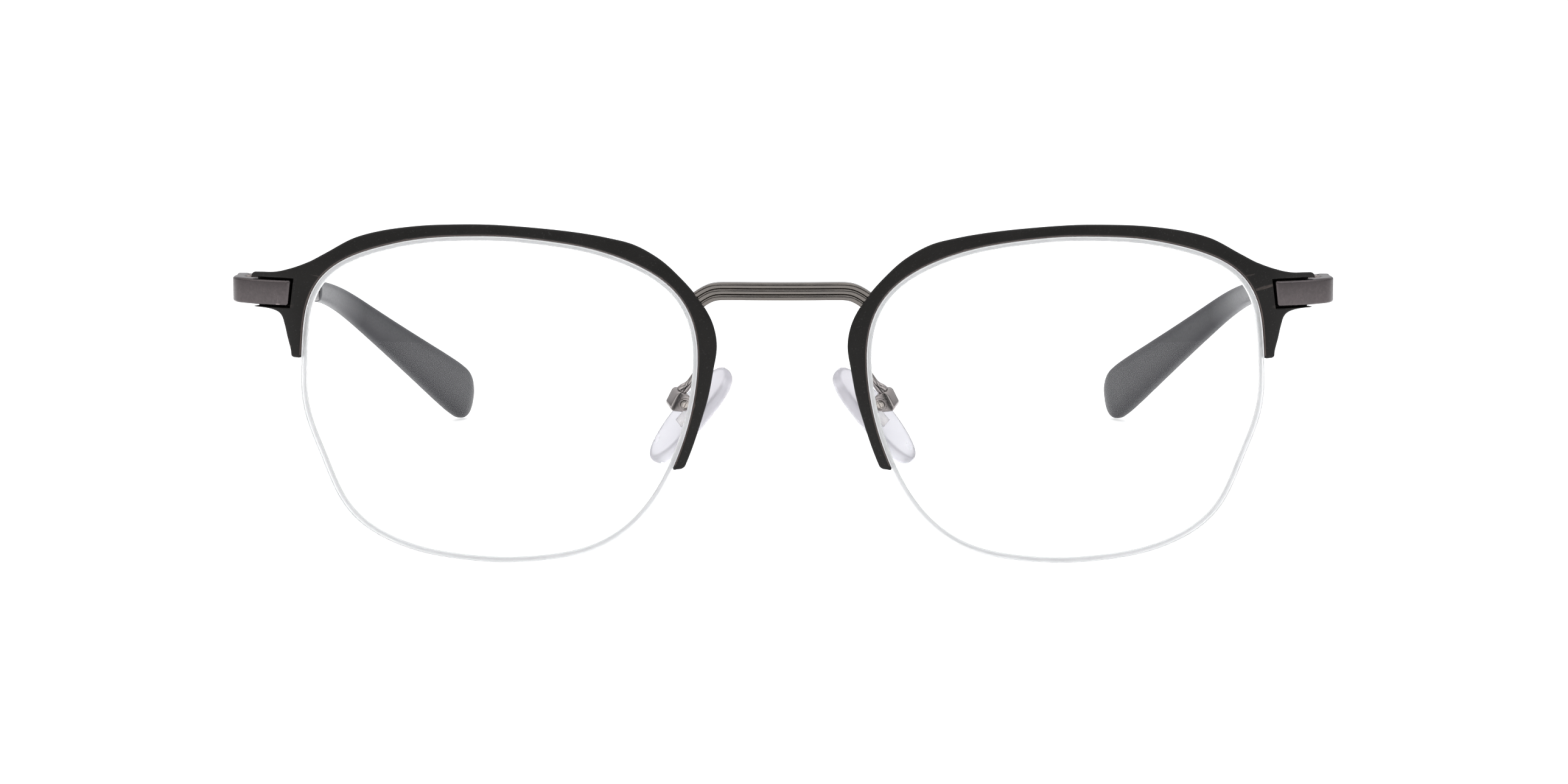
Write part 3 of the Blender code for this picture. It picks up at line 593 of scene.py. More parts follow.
def turned(centre, axis, profile, sides=48):
    """Body of revolution: profile rows of (along, radius) in millimetres."""
    z = unit(axis)
    x = unit(np.cross(z, (0.3, 1.0, 0.2)))
    y = np.cross(z, x)
    secs = []
    for along, r in profile:
        secs.append([centre + z * along + x * (r * math.cos(2 * math.pi * k / sides))
                     + y * (r * math.sin(2 * math.pi * k / sides)) for k in range(sides)])
    return loft(secs)


def rounded_rod(centre, axis, radius, length, edge=0.08, sides=48):
    h = length / 2
    prof = []
    for k in range(4):
        a = math.pi / 2 * k / 3
        prof.append((-h + edge - edge * math.cos(a), radius - edge + edge * math.sin(a)))
    prof += [(-x, r) for x, r in reversed(prof)]
    return turned(centre, axis, prof, sides)


def rounded_profile(h, t, r, seg=5):
    """Points of a rounded rectangle, half height h (second axis), half width t."""
    pts = []
    for cx, cy, a0 in ((t - r, h - r, 0), (-t + r, h - r, 90), (-t + r, -h + r, 180), (t - r, -h + r, 270)):
        for k in range(seg + 1):
            a = math.radians(a0 + 90 * k / seg)
            pts.append((cx + r * math.cos(a), cy + r * math.sin(a)))
    return pts


def tube_bm(points, radius, sides=20, close_round=True):
    """A round wire along points, with parallel frames and flat capped ends."""
    pts = [np.array(p, float) for p in points]
    tang = [unit(pts[min(i + 1, len(pts) - 1)] - pts[max(i - 1, 0)]) for i in range(len(pts))]
    ref = unit(np.cross(tang[0], (0.2, 0.3, 1.0)))
    secs = []
    for i, (p, t) in enumerate(zip(pts, tang)):
        ref = unit(ref - t * np.dot(ref, t))
        b = np.cross(t, ref)
        r = radius if callable(radius) is False else radius(i)
        secs.append([p + ref * (r * math.cos(2 * math.pi * k / sides)) + b * (r * math.sin(2 * math.pi * k / sides))
                     for k in range(sides)])
    return loft(secs)


# ========================================================================= lens
def lens(side, name):
    n = 240
    half = LENS_THICK / 2
    g = GROOVE_WIDTH / 2
    e = -LENS_INSET
    rings = []          # (kind, value, depth)
    for k in (0.12, 0.28, 0.44, 0.6, 0.74, 0.86, 0.94):
        rings.append(("s", k, -half))
    rings += [("e", e - 0.5, -half), ("e", e - 0.2, -half), ("e", e - 0.14, -half), ("e", e - 0.07, -half + 0.02), ("e", e - 0.02, -half + 0.07), ("e", e, -half + 0.14),
              ("e", e, -g - 0.03), ("e", e - 0.03, -g), ("e", -GROOVE_DEPTH + 0.06, -g), ("e", -GROOVE_DEPTH, -g + 0.08),
              ("e", -GROOVE_DEPTH, g - 0.08), ("e", -GROOVE_DEPTH + 0.06, g), ("e", e - 0.03, g), ("e", e, g + 0.03),
              ("e", e, half - 0.14), ("e", e - 0.02, half - 0.07), ("e", e - 0.07, half - 0.02), ("e", e - 0.14, half),
              ("e", e - 0.2, half), ("e", e - 0.5, half)]
    for k in (0.94, 0.86, 0.74, 0.6, 0.44, 0.28, 0.12):
        rings.append(("s", k, half))
    frames = [edge_frame(i * 360 / n) for i in range(n)]
    bm = bmesh.new()
    rows = []
    for kind, val, depth in rings:
        row = []
        for i in range(n):
            if kind == "s":
                u, v = lens_uv(i * 360 / n, val)
                row.append(bm.verts.new(surface_point(u, v) + surface_normal(u, v) * depth))
            else:
                p, o, nn = frames[i]
                row.append(bm.verts.new(p + o * val + nn * depth))
        rows.append(row)
    c0 = bm.verts.new(surface_point(LENS_U, LENS_V) - surface_normal(LENS_U, LENS_V) * half)
    c1 = bm.verts.new(surface_point(LENS_U, LENS_V) + surface_normal(LENS_U, LENS_V) * half)
    for k, (a, b) in enumerate(zip(rows, rows[1:])):
        for i in range(n):
            j = (i + 1) % n
            f = bm.faces.new((a[i], a[j], b[j], b[i]))
            f.material_index = 1 if 9 <= k <= 23 else 0
    for i in range(n):
        j = (i + 1) % n
        bm.faces.new((c0, rows[0][j], rows[0][i]))
        bm.faces.new((c1, rows[-1][i], rows[-1][j]))
    bmesh.ops.recalc_face_normals(bm, faces=bm.faces)
    return to_object(name, bm, [LENS, LENS_EDGE], side, 35)


# =================================================================== bridge bar
def bridge_section(p, d, grow=0.0, k=1.0):
    back = np.array((0.0, 1.0, 0.0))
    back = unit(back - d * np.dot(back, d))
    up = np.cross(back, d)
    if up[2] < 0:
        up = -up
    h, t = BRIDGE_HEIGHT / 2 + grow, BRIDGE_THICK / 2 + grow
    if grow:
        pts = [(t, -h), (t, h), (-t, h), (-t, -h)]
    else:
        pts = []
        for cx, cy, a0 in ((t - 0.2, -h + 0.2, 270), (t - 0.2, h - 0.2, 0)):
            for q in range(5):
                a = math.radians(a0 + 90 * q / 4)
                pts.append((cx + 0.2 * math.cos(a), cy + 0.2 * math.sin(a)))
        r = h / RIBS
        pts.append((-t + r * 0.62, h))
        for rib in range(RIBS):
            c = h - r * (2 * rib + 1)
            for q in range(1, 13):
                a = math.pi * q / 12
                pts.append((-t + r * 0.62 - r * 0.62 * math.sin(a), c + r * math.cos(a)))
    return [p + (back * a + up * b) * k for a, b in pts]


def bridge_sections(path, grow=0.0):
    out = []
    for i, p in enumerate(path):
        a, b = path[max(i - 1, 0)], path[min(i + 1, len(path) - 1)]
        out.append(bridge_section(p, unit(b - a), grow))
    return out


half_path = curve_through(BRIDGE_PATH, per=10)
full_path = [at(-p[0], p[1], p[2]) for p in reversed(half_path[1:])] + list(half_path)
coarse_path = curve_through(BRIDGE_PATH, per=2)


def bridge():
    ob = to_object("bridge_bar", loft(bridge_sections(full_path)), BRIDGE_METAL, 1, 60)
    return piece(ob, "front", "bridge")


# ================================================================ endpiece bar
def endpiece_path():
    p = []
    for u in (END_START_U, 64.7, 66.1, 67.4):
        n = surface_normal(u, END_V)
        q = surface_point(u, END_V) + n * (-RIM_THICK / 2 - 0.15 + END_THICK / 2)
        p.append((q[0], q[1]))
    p += [(68.85, 9.95), (69.8, 10.7), (70.32, 11.6), (70.36, 12.5), (70.23, 13.6)]
    return p


def endpiece_stations(per=8):
    """Centre points and directions along the endpiece, smooth to its butt end."""
    path = endpiece_path() + [(TEMPLE_U, HINGE_Y)]
    fine = curve_through([(x, y, 0.0) for x, y in path], per)
    d_end = temple_dir(0.0)[0]
    out = []
    for i, q in enumerate(fine):
        a, b = fine[max(i - 1, 0)], fine[min(i + 1, len(fine) - 1)]
        d = unit(b - a)
        x, y = q[0], q[1]
        v = END_V
        if y > 9.0:
            v = END_V + (HINGE_V - END_V) * (y - 9.0) / (HINGE_Y - 9.0)
            tilt = -math.tan(math.radians(PITCH0)) * min((y - 9.0) / 3.0, 1.0) * d[1]
            d = unit((d[0], d[1], tilt))
        out.append((at(x, y, v), d))
    butt = at(TEMPLE_U, HINGE_Y, HINGE_V)
    out[-1] = (butt - d_end * 0.05, d_end)
    return out


def slant(along):
    """Lean of the inner end face, fading out along the bar."""
    return 0.11 * (1.0 - ease(along / 2.4))


def endpiece(side, name):
    st = endpiece_stations()
    secs = []
    p0, d0 = st[0]
    rim_r = 0.32
    rows = [(p0 + d0 * (rim_r * (1 - math.cos(a))) , d0, rim_r * (1 - math.sin(a)))
            for a in [math.radians(x) for x in (0, 18, 36, 54, 72, 90)]]
    length = 0.0
    for p, d, shrink in rows:
        secs.append((p, d, shrink))
    for i in range(1, len(st) - 1):
        if np.dot(st[i][0] - rows[-1][0], d0) > 0.08:
            secs.append((st[i][0], st[i][1], 0.0))
    pe, de = st[-1]
    for a in (90, 60, 30, 0):
        a = math.radians(a)
        secs.append((pe - de * (0.15 * (1 - math.cos(a))), de, 0.15 * (1 - math.sin(a))))
    out = []
    for p, d, shrink in secs:
        outer = unit(np.cross(d, (0.0, 0.0, 1.0)))
        up = np.cross(outer, d)
        prof = rounded_profile(END_HEIGHT / 2 - shrink, END_THICK / 2 - shrink, max(0.34 - shrink, 0.05), 6)
        lean = slant(np.dot(p - p0, d0))
        out.append([p + outer * a + up * b - d * (b * lean) for a, b in prof])
    return to_object(name, loft(out), ENDPIECE, side, 50)


def seat_tool(side, name):
    """Cutter for the seat: clearance round the endpiece, flared at the surface."""
    st = endpiece_stations()
    rows = [(st[0][0] - st[0][1] * SEAT_END, st[0][1])] + st[:29]
    out = []
    for p, d in rows:
        outer = unit(np.cross(d, (0.0, 0.0, 1.0)))
        up = np.cross(outer, d)
        h, t = END_HEIGHT / 2 + SEAT_SIDE, END_THICK / 2
        face = t - 0.15                     # the lug's front face, from the bar's middle
        pts = [(-t - SEAT_BACK, -h), (face - 0.14, -h), (face - 0.04, -h - 0.05), (face + 0.03, -h - 0.16), (face + 1.5, -h - 0.16),
               (face + 1.5, h + 0.16), (face + 0.03, h + 0.16), (face - 0.04, h + 0.05), (face - 0.14, h), (-t - SEAT_BACK, h)]
        lean = slant(np.dot(p - st[0][0], st[0][1]))
        out.append([p + outer * a + up * b - d * (b * lean) for a, b in pts])
    return to_object(name, loft(out), BLACK, side)


# ========================================================================== rim
def rim_outline():
    """Closed outline of half rim and lug as pairs (inner, outer) in (u, v)."""
    inner, outer = [], []
    # ring part of the outer edge, nasal end to above the lug
    angles = np.linspace(RIM_END, 38.5, 330)
    for a in angles:
        inner.append(edge_point(a, RIM_GAP))
        outer.append(edge_point(a, mixed(RIM_WIDTH, a)))
    # lug: from the ring over the top, round the end, back to the ring below
    top = [(60.0, 16.16), (60.75, 15.82), (61.5, 15.51), (62.3, 15.22), (63.1, 14.98), (63.9, 14.76), (64.9, 14.57),
           (65.9, 14.5), (66.7, 14.47), (67.3, 14.46)]
    low = [(67.3, 9.9), (66.7, 9.88), (65.9, 9.81), (65.2, 9.68), (64.65, 9.5), (64.25, 9.25), (63.97, 8.9), (63.8, 8.5),
           (63.68, 8.05)]
    flat = np.array((1, 0, 1))

    def corner(c, a0, a1):
        return [np.array((c[0] + 0.6 * math.cos(math.radians(t)), 0, c[1] + 0.6 * math.sin(math.radians(t))))
                for t in np.linspace(a0, a1, 9)]

    fine = curve_through([outer[-1] * flat] + [np.array((x, 0, y)) for x, y in top], per=8)
    fine += corner((67.37, 13.86), 86, 0)
    fine += [np.array((67.97, 0, v)) for v in np.linspace(13.6, 10.75, 12)]
    fine += corner((67.37, 10.5), 0, -86)
    fine += curve_through([np.array((x, 0, y)) for x, y in low]
                          + [edge_point(a, mixed(RIM_WIDTH, a)) * flat for a in (19.0, 17.5)], per=8)
    n = len(fine)
    for i, q in enumerate(fine[1:-1]):
        t = (i + 1) / (n - 1)
        a = 38.5 + (17.5 - 38.5) * t
        inner.append(edge_point(a, RIM_GAP))
        outer.append(q)
    for a in np.linspace(17.5, RIM_START, 30):
        inner.append(edge_point(a, RIM_GAP))
        outer.append(edge_point(a, mixed(RIM_WIDTH, a)))
    return [np.array((p[0], p[2])) for p in inner], [np.array((p[0], p[2])) for p in outer]


def rim_v(u, v):
    """Height at which the lens surface is read: level across the lug."""
    k = ease((u - 61.0) / 4.0)
    return v + (END_V - v) * k


def rim_point(u, v, depth):
    w = rim_v(u, v)
    p = at(u, front(u, w), v)
    return p + surface_normal(u, w) * depth


def rim(side, name):
    inner, outer = rim_outline()
    n = len(inner)
    # closed loop: outer edge forward, rounded end, inner edge back, rounded end
    def end_cap(a, b, bulge, ra, rb_, reach, count=9):
        """Points of a branch end from a to b with its two corner radii."""
        w = np.linalg.norm(b - a)
        x = (b - a) / w
        pts = []
        for k in range(count):
            ang = math.pi / 2 * k / (count - 1)
            pts.append(a + x * (ra - ra * math.cos(ang)) + bulge * reach * (1 - (1 - math.sin(ang)) * min(ra / reach, 1.0)))
        for k in range(count):
            ang = math.pi / 2 * (1 - k / (count - 1))
            pts.append(b - x * (rb_ - rb_ * math.cos(ang)) + bulge * reach * (1 - (1 - math.sin(ang)) * min(rb_ / reach, 1.0)))
        return pts

    # pull the last stations back so that the rounded ends finish at the stated angles
    def direction(p, q):
        return (q - p) / np.linalg.norm(q - p)
    keep = [i for i in range(n) if np.linalg.norm(inner[i] - inner[0]) > 0.36 and np.linalg.norm(inner[i] - inner[-1]) > 0.26]
    inner2 = [inner[i] for i in keep]
    outer2 = [outer[i] for i in keep]
    slanted = []
    for i in range(14):
        q = i + 3.4 * (1 - i / 14)
        j = int(q)
        slanted.append(outer2[j] + (outer2[j + 1] - outer2[j]) * (q - j))
    outer2[:14] = slanted
    b0 = direction(inner2[2], inner2[0])
    b1 = direction(inner2[-3], inner2[-1])
    cap1 = end_cap(outer2[-1], inner2[-1], b1, 0.42, 0.28, 0.36)[1:-1]
    cap0 = end_cap(inner2[0], outer2[0], b0, 0.2, 0.46, 0.64)[1:-1]
    loop = outer2 + cap1 + inner2[::-1] + cap0
    groove = [0.0] * len(outer2) + [0.0] * len(cap1) + [1.0] * len(inner2) + [0.0] * len(cap0)
    m = len(loop)
    # in-plane inward normals of the loop
    area = sum(loop[i][0] * loop[(i + 1) % m][1] - loop[(i + 1) % m][0] * loop[i][1] for i in range(m))
    sgn = 1.0 if area > 0 else -1.0
    inward = []
    for i in range(m):
        t = loop[(i + 1) % m] - loop[i - 1]
        t = t / max(np.linalg.norm(t), 1e-9)
        inward.append(np.array((-t[1], t[0])) * sgn)
    half, ch, g = RIM_THICK / 2, CHANNEL_DEPTH + RIM_GAP, CHANNEL_WIDTH / 2
    rf, rb = 0.26, 0.22
    prof = []
    for k in range(6):                      # front edge fillet
        a = math.pi / 2 * k / 5
        q = (rf * (1 - math.sin(a)), -half + rf * (1 - math.cos(a)))
        prof.append((q, q))
    prof += [((0.0, -g - 0.04), (0.0, -g - 0.04)), ((0.0, -g), (0.04, -g)), ((0.0, -g + 0.1), (ch, -g)),
             ((0.0, g - 0.1), (ch, g)), ((0.0, g), (0.04, g)), ((0.0, g + 0.04), (0.0, g + 0.04))]
    for k in range(5):
        a = math.pi / 2 * (1 - k / 4)
        q = (rb * (1 - math.sin(a)), half - rb * (1 - math.cos(a)))
        prof.append((q, q))
    bm = bmesh.new()
    rows = []
    for choice in prof:
        row = []
        for i in range(m):
            inset, depth = choice[1 if groove[i] else 0]
            q = loop[i] + inward[i] * inset
            row.append(bm.verts.new(rim_point(q[0], q[1], depth)))
        rows.append(row)
    for k, (a, b) in enumerate(zip(rows, rows[1:])):
        for i in range(m):
            j = (i + 1) % m
            f = bm.faces.new((a[i], a[j], b[j], b[i]))
            f.material_index = 1 if 2 <= k <= 11 and groove[i] and groove[j] else 0
    # front and back faces: ladders between the outer and inner edges, on the surface
    cols = 6
    no, nc = len(outer2), len(cap1)
    loop_ends = []
    for inset in (rf, rb):
        pts = [loop[i] + inward[i] * inset for i in range(m)]
        loop_ends.append((pts[:no], pts[no + nc:no + nc + len(inner2)][::-1]))
    for row, depth, flip in ((rows[0], -half, False), (rows[-1], half, True)):
        first = row[:no]
        last = row[no + nc:no + nc + len(inner2)][::-1]
        grid = []
        ends = loop_ends[0 if depth < 0 else 1]
        for i in range(no):
            a, b = first[i], last[i]
            line = [a]
            for c in range(1, cols):
                q = ends[0][i] + (ends[1][i] - ends[0][i]) * (c / cols)
                line.append(bm.verts.new(rim_point(q[0], q[1], depth)))
            line.append(b)
            grid.append(line)
        for i in range(no - 1):
            for c in range(cols):
                bm.faces.new((grid[i][c], grid[i][c + 1], grid[i + 1][c + 1], grid[i + 1][c]))
        # rounded ends
        cap1_row = row[no:no + nc]
        cap0_row = row[no + nc + len(inner2):]
        bm.faces.new(grid[-1] + cap1_row[::-1])
        bm.faces.new(list(reversed(grid[0])) + cap0_row[::-1])
    bmesh.ops.remove_doubles(bm, verts=bm.verts, dist=0.0004)
    bmesh.ops.recalc_face_normals(bm, faces=bm.faces)
    ob = to_object(name, bm, [BLACK, WALL], side, 32)
    tools = [(seat_tool(side, name + "_t1"), "DIFFERENCE")]
    end = coarse_path[-1] + unit(coarse_path[-1] - coarse_path[-2]) * 0.06
    tools.append((to_object(name + "_t2", loft(bridge_sections(list(coarse_path[7:-1]) + [end], grow=0.05)), BLACK, side), "DIFFERENCE"))
    for k, a in enumerate(CORD_HOLES):
        p, o, nn = edge_frame(a)
        tools.append((to_object(name + "_t3%d" % k, rounded_rod(p + o * 1.6, o, CORD_HOLE_R, 2.6, 0.02, 24), BLACK, side), "DIFFERENCE"))
    tools.append((to_object(name + "_t5", rounded_rod(at(ARM_PATH[0][0], ARM_PATH[0][1] + 0.95, ARM_PATH[0][2]), (0, 1, 0),
                                                      ARM_R + 0.06, 2.0, 0.02, 24), BLACK, side), "DIFFERENCE"))
    return carve(ob, tools, smooth=32)


# ============================================================== liner and cord
def liner(side, name):
    angles = np.linspace(LINER_START, LINER_END, 161)
    w = LINER_WIDTH / 2
    prof = rounded_profile(w, (CHANNEL_DEPTH + 0.02 + GROOVE_DEPTH - 0.06) / 2, 0.1, 3)
    mid = (CHANNEL_DEPTH + 0.02 - (GROOVE_DEPTH - 0.06)) / 2
    secs = []
    for i, a in enumerate(angles):
        p, o, n = edge_frame(a)
        k = 1.0
        secs.append([p + o * (mid + x * k) + n * (y * k) for x, y in prof])
    return to_object(name, loft(secs), NYLON, side, 40)


def cord(side, name):
    r = CORD_R
    a0, a1 = CORD_HOLES
    pts = [edge_point(a0, 1.35), edge_point(a0, 0.55), edge_point(a0 - 0.3, 0.12), edge_point(a0 - 1.2, -0.18)]
    a = a0 - 3.0
    while a > a1 - 360 + 3.0:
        pts.append(edge_point(a, -r - 0.03))
        a -= 1.5
    pts += [edge_point(a1 + 1.2, -0.18), edge_point(a1 + 0.3, 0.12), edge_point(a1, 0.55), edge_point(a1, 1.15)]
    fine = curve_through(pts[:5], 4)[:-1] + pts[4:-5] + curve_through(pts[-5:], 4)
    return to_object(name, tube_bm(fine, r * 0.98, 16), NYLON, side, 60)


# ======================================================================== hinge
HINGE = at(HINGE_U, HINGE_Y, HINGE_V)
AXIS = temple_dir(0.0)[2]
BACK = temple_dir(0.0)[0]
OUT = temple_dir(0.0)[1]


def hinge_point(x, d, h):
    return HINGE + OUT * x + BACK * d + AXIS * h


def hinge_leaf(side, name, levels, direction):
    face = TEMPLE_U - HINGE_U - END_THICK / 2
    mid = face - 0.05 - LEAF_THICK / 2
    total = 3 * KNUCKLE + 2 * KNUCKLE_GAP
    ob = to_object(name, box_bm(hinge_point(mid, direction * (LEAF_OFFSET + LEAF_LEN / 2), 0), OUT, BACK, AXIS,
                                (LEAF_THICK, LEAF_LEN, total - 0.2)), HINGE_METAL, side)
    tools = []
    for k in levels:
        h = (k - 1) * (KNUCKLE + KNUCKLE_GAP)
        y0, y1 = 0.45, LEAF_OFFSET + 0.9
        tools.append((to_object("%s_w%d" % (name, k),
                                box_bm(hinge_point((0.2 + mid + 0.1) / 2, direction * (y0 + y1) / 2, h), OUT, BACK, AXIS,
                                       (mid + 0.1 - 0.2, y1 - y0, KNUCKLE - 0.02)), HINGE_METAL, side), "UNION"))
        tools.append((to_object("%s_c%d" % (name, k), turned(hinge_point(0, 0, h), AXIS,
                                                             ((-KNUCKLE / 2, BARREL_R), (KNUCKLE / 2, BARREL_R)), 40),
                                HINGE_METAL, side), "UNION"))
    tools.append((to_object(name + "_h", turned(hinge_point(0, 0, 0), AXIS, ((-4, HINGE_BORE_R), (4, HINGE_BORE_R)), 32),
                            HINGE_METAL, side), "DIFFERENCE"))
    return carve(ob, tools, bevel=0.06, segments=2, smooth=35, angle=40)


def hinge_screw(side, name):
    total = 3 * KNUCKLE + 2 * KNUCKLE_GAP
    top = total / 2 + 0.03
    r = HINGE_SCREW_R
    prof = [(-total / 2 - 0.3, r - 0.1), (-total / 2 - 0.22, r - 0.02), (-total / 2 - 0.15, r)]
    prof += [(top, r), (top, 0.94), (top + 0.05, 1.0), (top + 0.14, 1.0), (top + 0.22, 0.95), (top + 0.27, 0.82), (top + 0.3, 0.6)]
    ob = to_object(name, turned(hinge_point(0, 0, 0), AXIS, prof, 48), STEEL, side)
    slot = to_object(name + "_s", box_bm(hinge_point(0, 0, top + 0.3), unit(OUT + BACK), unit(BACK - OUT), AXIS,
                                         (3.0, 0.28, 0.36)), STEEL, side)
    return carve(ob, [(slot, "DIFFERENCE")], bevel=0.02, segments=2, smooth=35, angle=40)


# ======================================================================= temple
def temple(side, name):
    secs = []
    def bar(s):
        h = np.interp(s, [r[0] for r in BAR], [r[1] for r in BAR])
        t = np.interp(s, [r[0] for r in BAR], [r[2] for r in BAR])
        return h, t
    rows = []
    for a in (0, 30, 60, 90):
        a = math.radians(a)
        rows.append((0.05 + 0.15 * (1 - math.cos(a)), 0.15 * (1 - math.sin(a))))
    rows += [(s, 0.0) for s in (1.0, 4.0)] + [(s, 0.0) for s in np.arange(8.0, 71.0, 4.0)] + [(71.8, 0.0), (71.95, 0.12)]
    for s, shrink in rows:
        p, d, sd, up = temple_at(s)
        h, t = bar(s)
        prof = rounded_profile(h - shrink, t - shrink, 0.3, 5)
        secs.append([p + sd * a + up * b for a, b in prof])
    for s in np.concatenate(([72.0], np.linspace(74.0, CORE_END, 31))):
        p, d, sd, up = temple_at(s)
        prof = rounded_profile(CORE_R, CORE_R, CORE_R * 0.999, 5)
        secs.append([p + sd * a + up * b for a, b in prof])
    return to_object(name, loft(secs), TEMPLE_METAL, side, 40)


def super_section(p, side_dir, up, h, t, n=56, power=2.6):
    pts = []
    for k in range(n):
        a = 2 * math.pi * k / n
        c, s = math.cos(a), math.sin(a)
        pts.append(p + side_dir * t * math.copysign(abs(c) ** (2 / power), c)
                   + up * h * math.copysign(abs(s) ** (2 / power), s))
    return pts


def temple_tip(side, name):
    secs = []
    # bore mouth, lip and outside in one closed skin
    for s in np.linspace(CORE_END + 0.3, TIP_START + 0.1, 34):
        p, d, sd, up = temple_at(s)
        secs.append(super_section(p, sd, up, BORE_R, BORE_R, power=2.0))
    for a in (0, 25, 50, 75, 90):
        a = math.radians(a)
        s = TIP_START + 0.25 * (1 - math.sin(a))
        p, d, sd, up = temple_at(s)
        h, t = mixed(TIP, TIP_START, 1), mixed(TIP, TIP_START, 2)
        k = 0.25 * (1 - math.cos(a))
        if a == 0:
            p0, d0, sd0, up0 = temple_at(TIP_START)
            secs.append(super_section(p0, sd0, up0, BORE_R + 0.04, BORE_R + 0.04, power=2.0))
            secs.append(super_section(p0, sd0, up0, h - 0.25, t - 0.25))
        s = TIP_START + 0.25 * (1 - math.cos(a))
        p, d, sd, up = temple_at(s)
        secs.append(super_section(p, sd, up, h - 0.25 * (1 - math.sin(a)), t - 0.25 * (1 - math.sin(a))))
    stations = list(np.arange(73.0, 139.8, 1.0))
    for s in stations:
        p, d, sd, up = temple_at(s)
        h, t = mixed(TIP, s, 1), mixed(TIP, s, 2)
        secs.append(super_section(p, sd, up, h, t))
    h0, t0 = mixed(TIP, 139.8, 1), mixed(TIP, 139.8, 2)
    for k in range(1, 15):
        x = k / 14
        s = 139.8 + 5.75 * math.sin(math.pi / 2 * x)
        f = max(1 - math.sin(math.pi / 2 * x) ** 2.6, 0.0) ** (1 / 2.4)
        p, d, sd, up = temple_at(s)
        secs.append(super_section(p, sd, up, max(h0 * f, 0.12), max(t0 * f, 0.06)))
    return to_object(name, loft(secs), TIP_MAT, side, 50)


# ==================================================================== nose pads
SP, PH = math.radians(PAD_SPREAD), math.radians(PAD_SPLAY)
PAD_A = np.array((math.sin(SP), 0.0, -math.cos(SP)))
IN = np.array((-math.cos(SP), 0.0, -math.sin(SP)))
PAD_N = IN * math.cos(PH) + np.array((0.0, math.sin(PH), 0.0))
PAD_W = np.array((0.0, math.cos(PH), 0.0)) - IN * math.sin(PH)
PAD_C = at(PAD_U, PAD_Y, PAD_V)


def pad_point(a, w, n):
    return PAD_C + PAD_A * a + PAD_W * w + PAD_N * n


PAD_PIVOT = pad_point(PAD_AXIS_A, 0, PAD_AXIS_N)
BT = math.radians(BOX_TURN)
BOX_A = PAD_A * math.cos(BT) + PAD_N * math.sin(BT)
BOX_N = PAD_N * math.cos(BT) - PAD_A * math.sin(BT)


def box_point(a, w, h):
    return PAD_PIVOT + BOX_A * a + PAD_W * w + BOX_N * h


def pad_outline(t, shrink):
    a = (PAD_LEN / 2 - shrink) * math.cos(t)
    w = math.sin(t)
    w = (PAD_WIDTH / 2 - shrink) * math.copysign(abs(w) ** (0.75 if w < 0 else 0.95), w)
    return a, w * (1.0 if w > 0 else 0.82)


def nose_pad(side, name):
    n = 96
    top = PAD_BACK + PAD_THICK
    rings = [(1.6, PAD_BACK + 0.0), (0.9, PAD_BACK), (0.4, PAD_BACK + 0.01), (0.16, PAD_BACK + 0.08), (0.04, PAD_BACK + 0.22),
             (0.0, PAD_BACK + 0.42), (0.0, PAD_BACK + 0.75), (0.06, PAD_BACK + 1.02), (0.2, PAD_BACK + 1.28),
             (0.45, PAD_BACK + 1.55), (0.8, PAD_BACK + 1.82), (1.25, PAD_BACK + 2.06), (1.75, PAD_BACK + 2.24),
             (2.3, PAD_BACK + 2.38), (2.8, top - 0.04)]
    secs = [[pad_point(*pad_outline(2 * math.pi * k / n, shrink), h) for k in range(n)] for shrink, h in rings]
    ob = to_object(name, loft(secs), SILICONE, side, 50)
    seat = to_object(name + "_s", box_bm(pad_point(PAD_AXIS_A, 0, PAD_BACK + 0.05), PAD_A, PAD_W, PAD_N, (5.12, 2.52, 0.9)), SILICONE, side)
    return carve(ob, [(seat, "DIFFERENCE")], smooth=40)


def pad_insert(side, name):
    ob = to_object(name, box_bm(pad_point(PAD_AXIS_A, 0, PAD_BACK + 0.22), PAD_A, PAD_W, PAD_N, (5.0, 2.4, 0.4)), INSERT, side)
    tools = [(to_object(name + "_n", box_bm(pad_point(PAD_AXIS_A, 0, (PAD_BACK + 0.2 + PAD_AXIS_N) / 2), PAD_A, PAD_W, PAD_N,
                                            (1.5, 1.16, PAD_BACK + 0.2 - PAD_AXIS_N)), INSERT, side), "UNION"),
             (to_object(name + "_e", turned(PAD_PIVOT, PAD_W, ((-0.6, 0.8), (0.6, 0.8)), 40), INSERT, side), "UNION"),
             (to_object(name + "_b", turned(PAD_PIVOT, PAD_W, ((-2, PAD_BORE_R), (2, PAD_BORE_R)), 32), INSERT, side), "DIFFERENCE")]
    return carve(ob, tools, bevel=0.05, segments=2, smooth=35, angle=40)


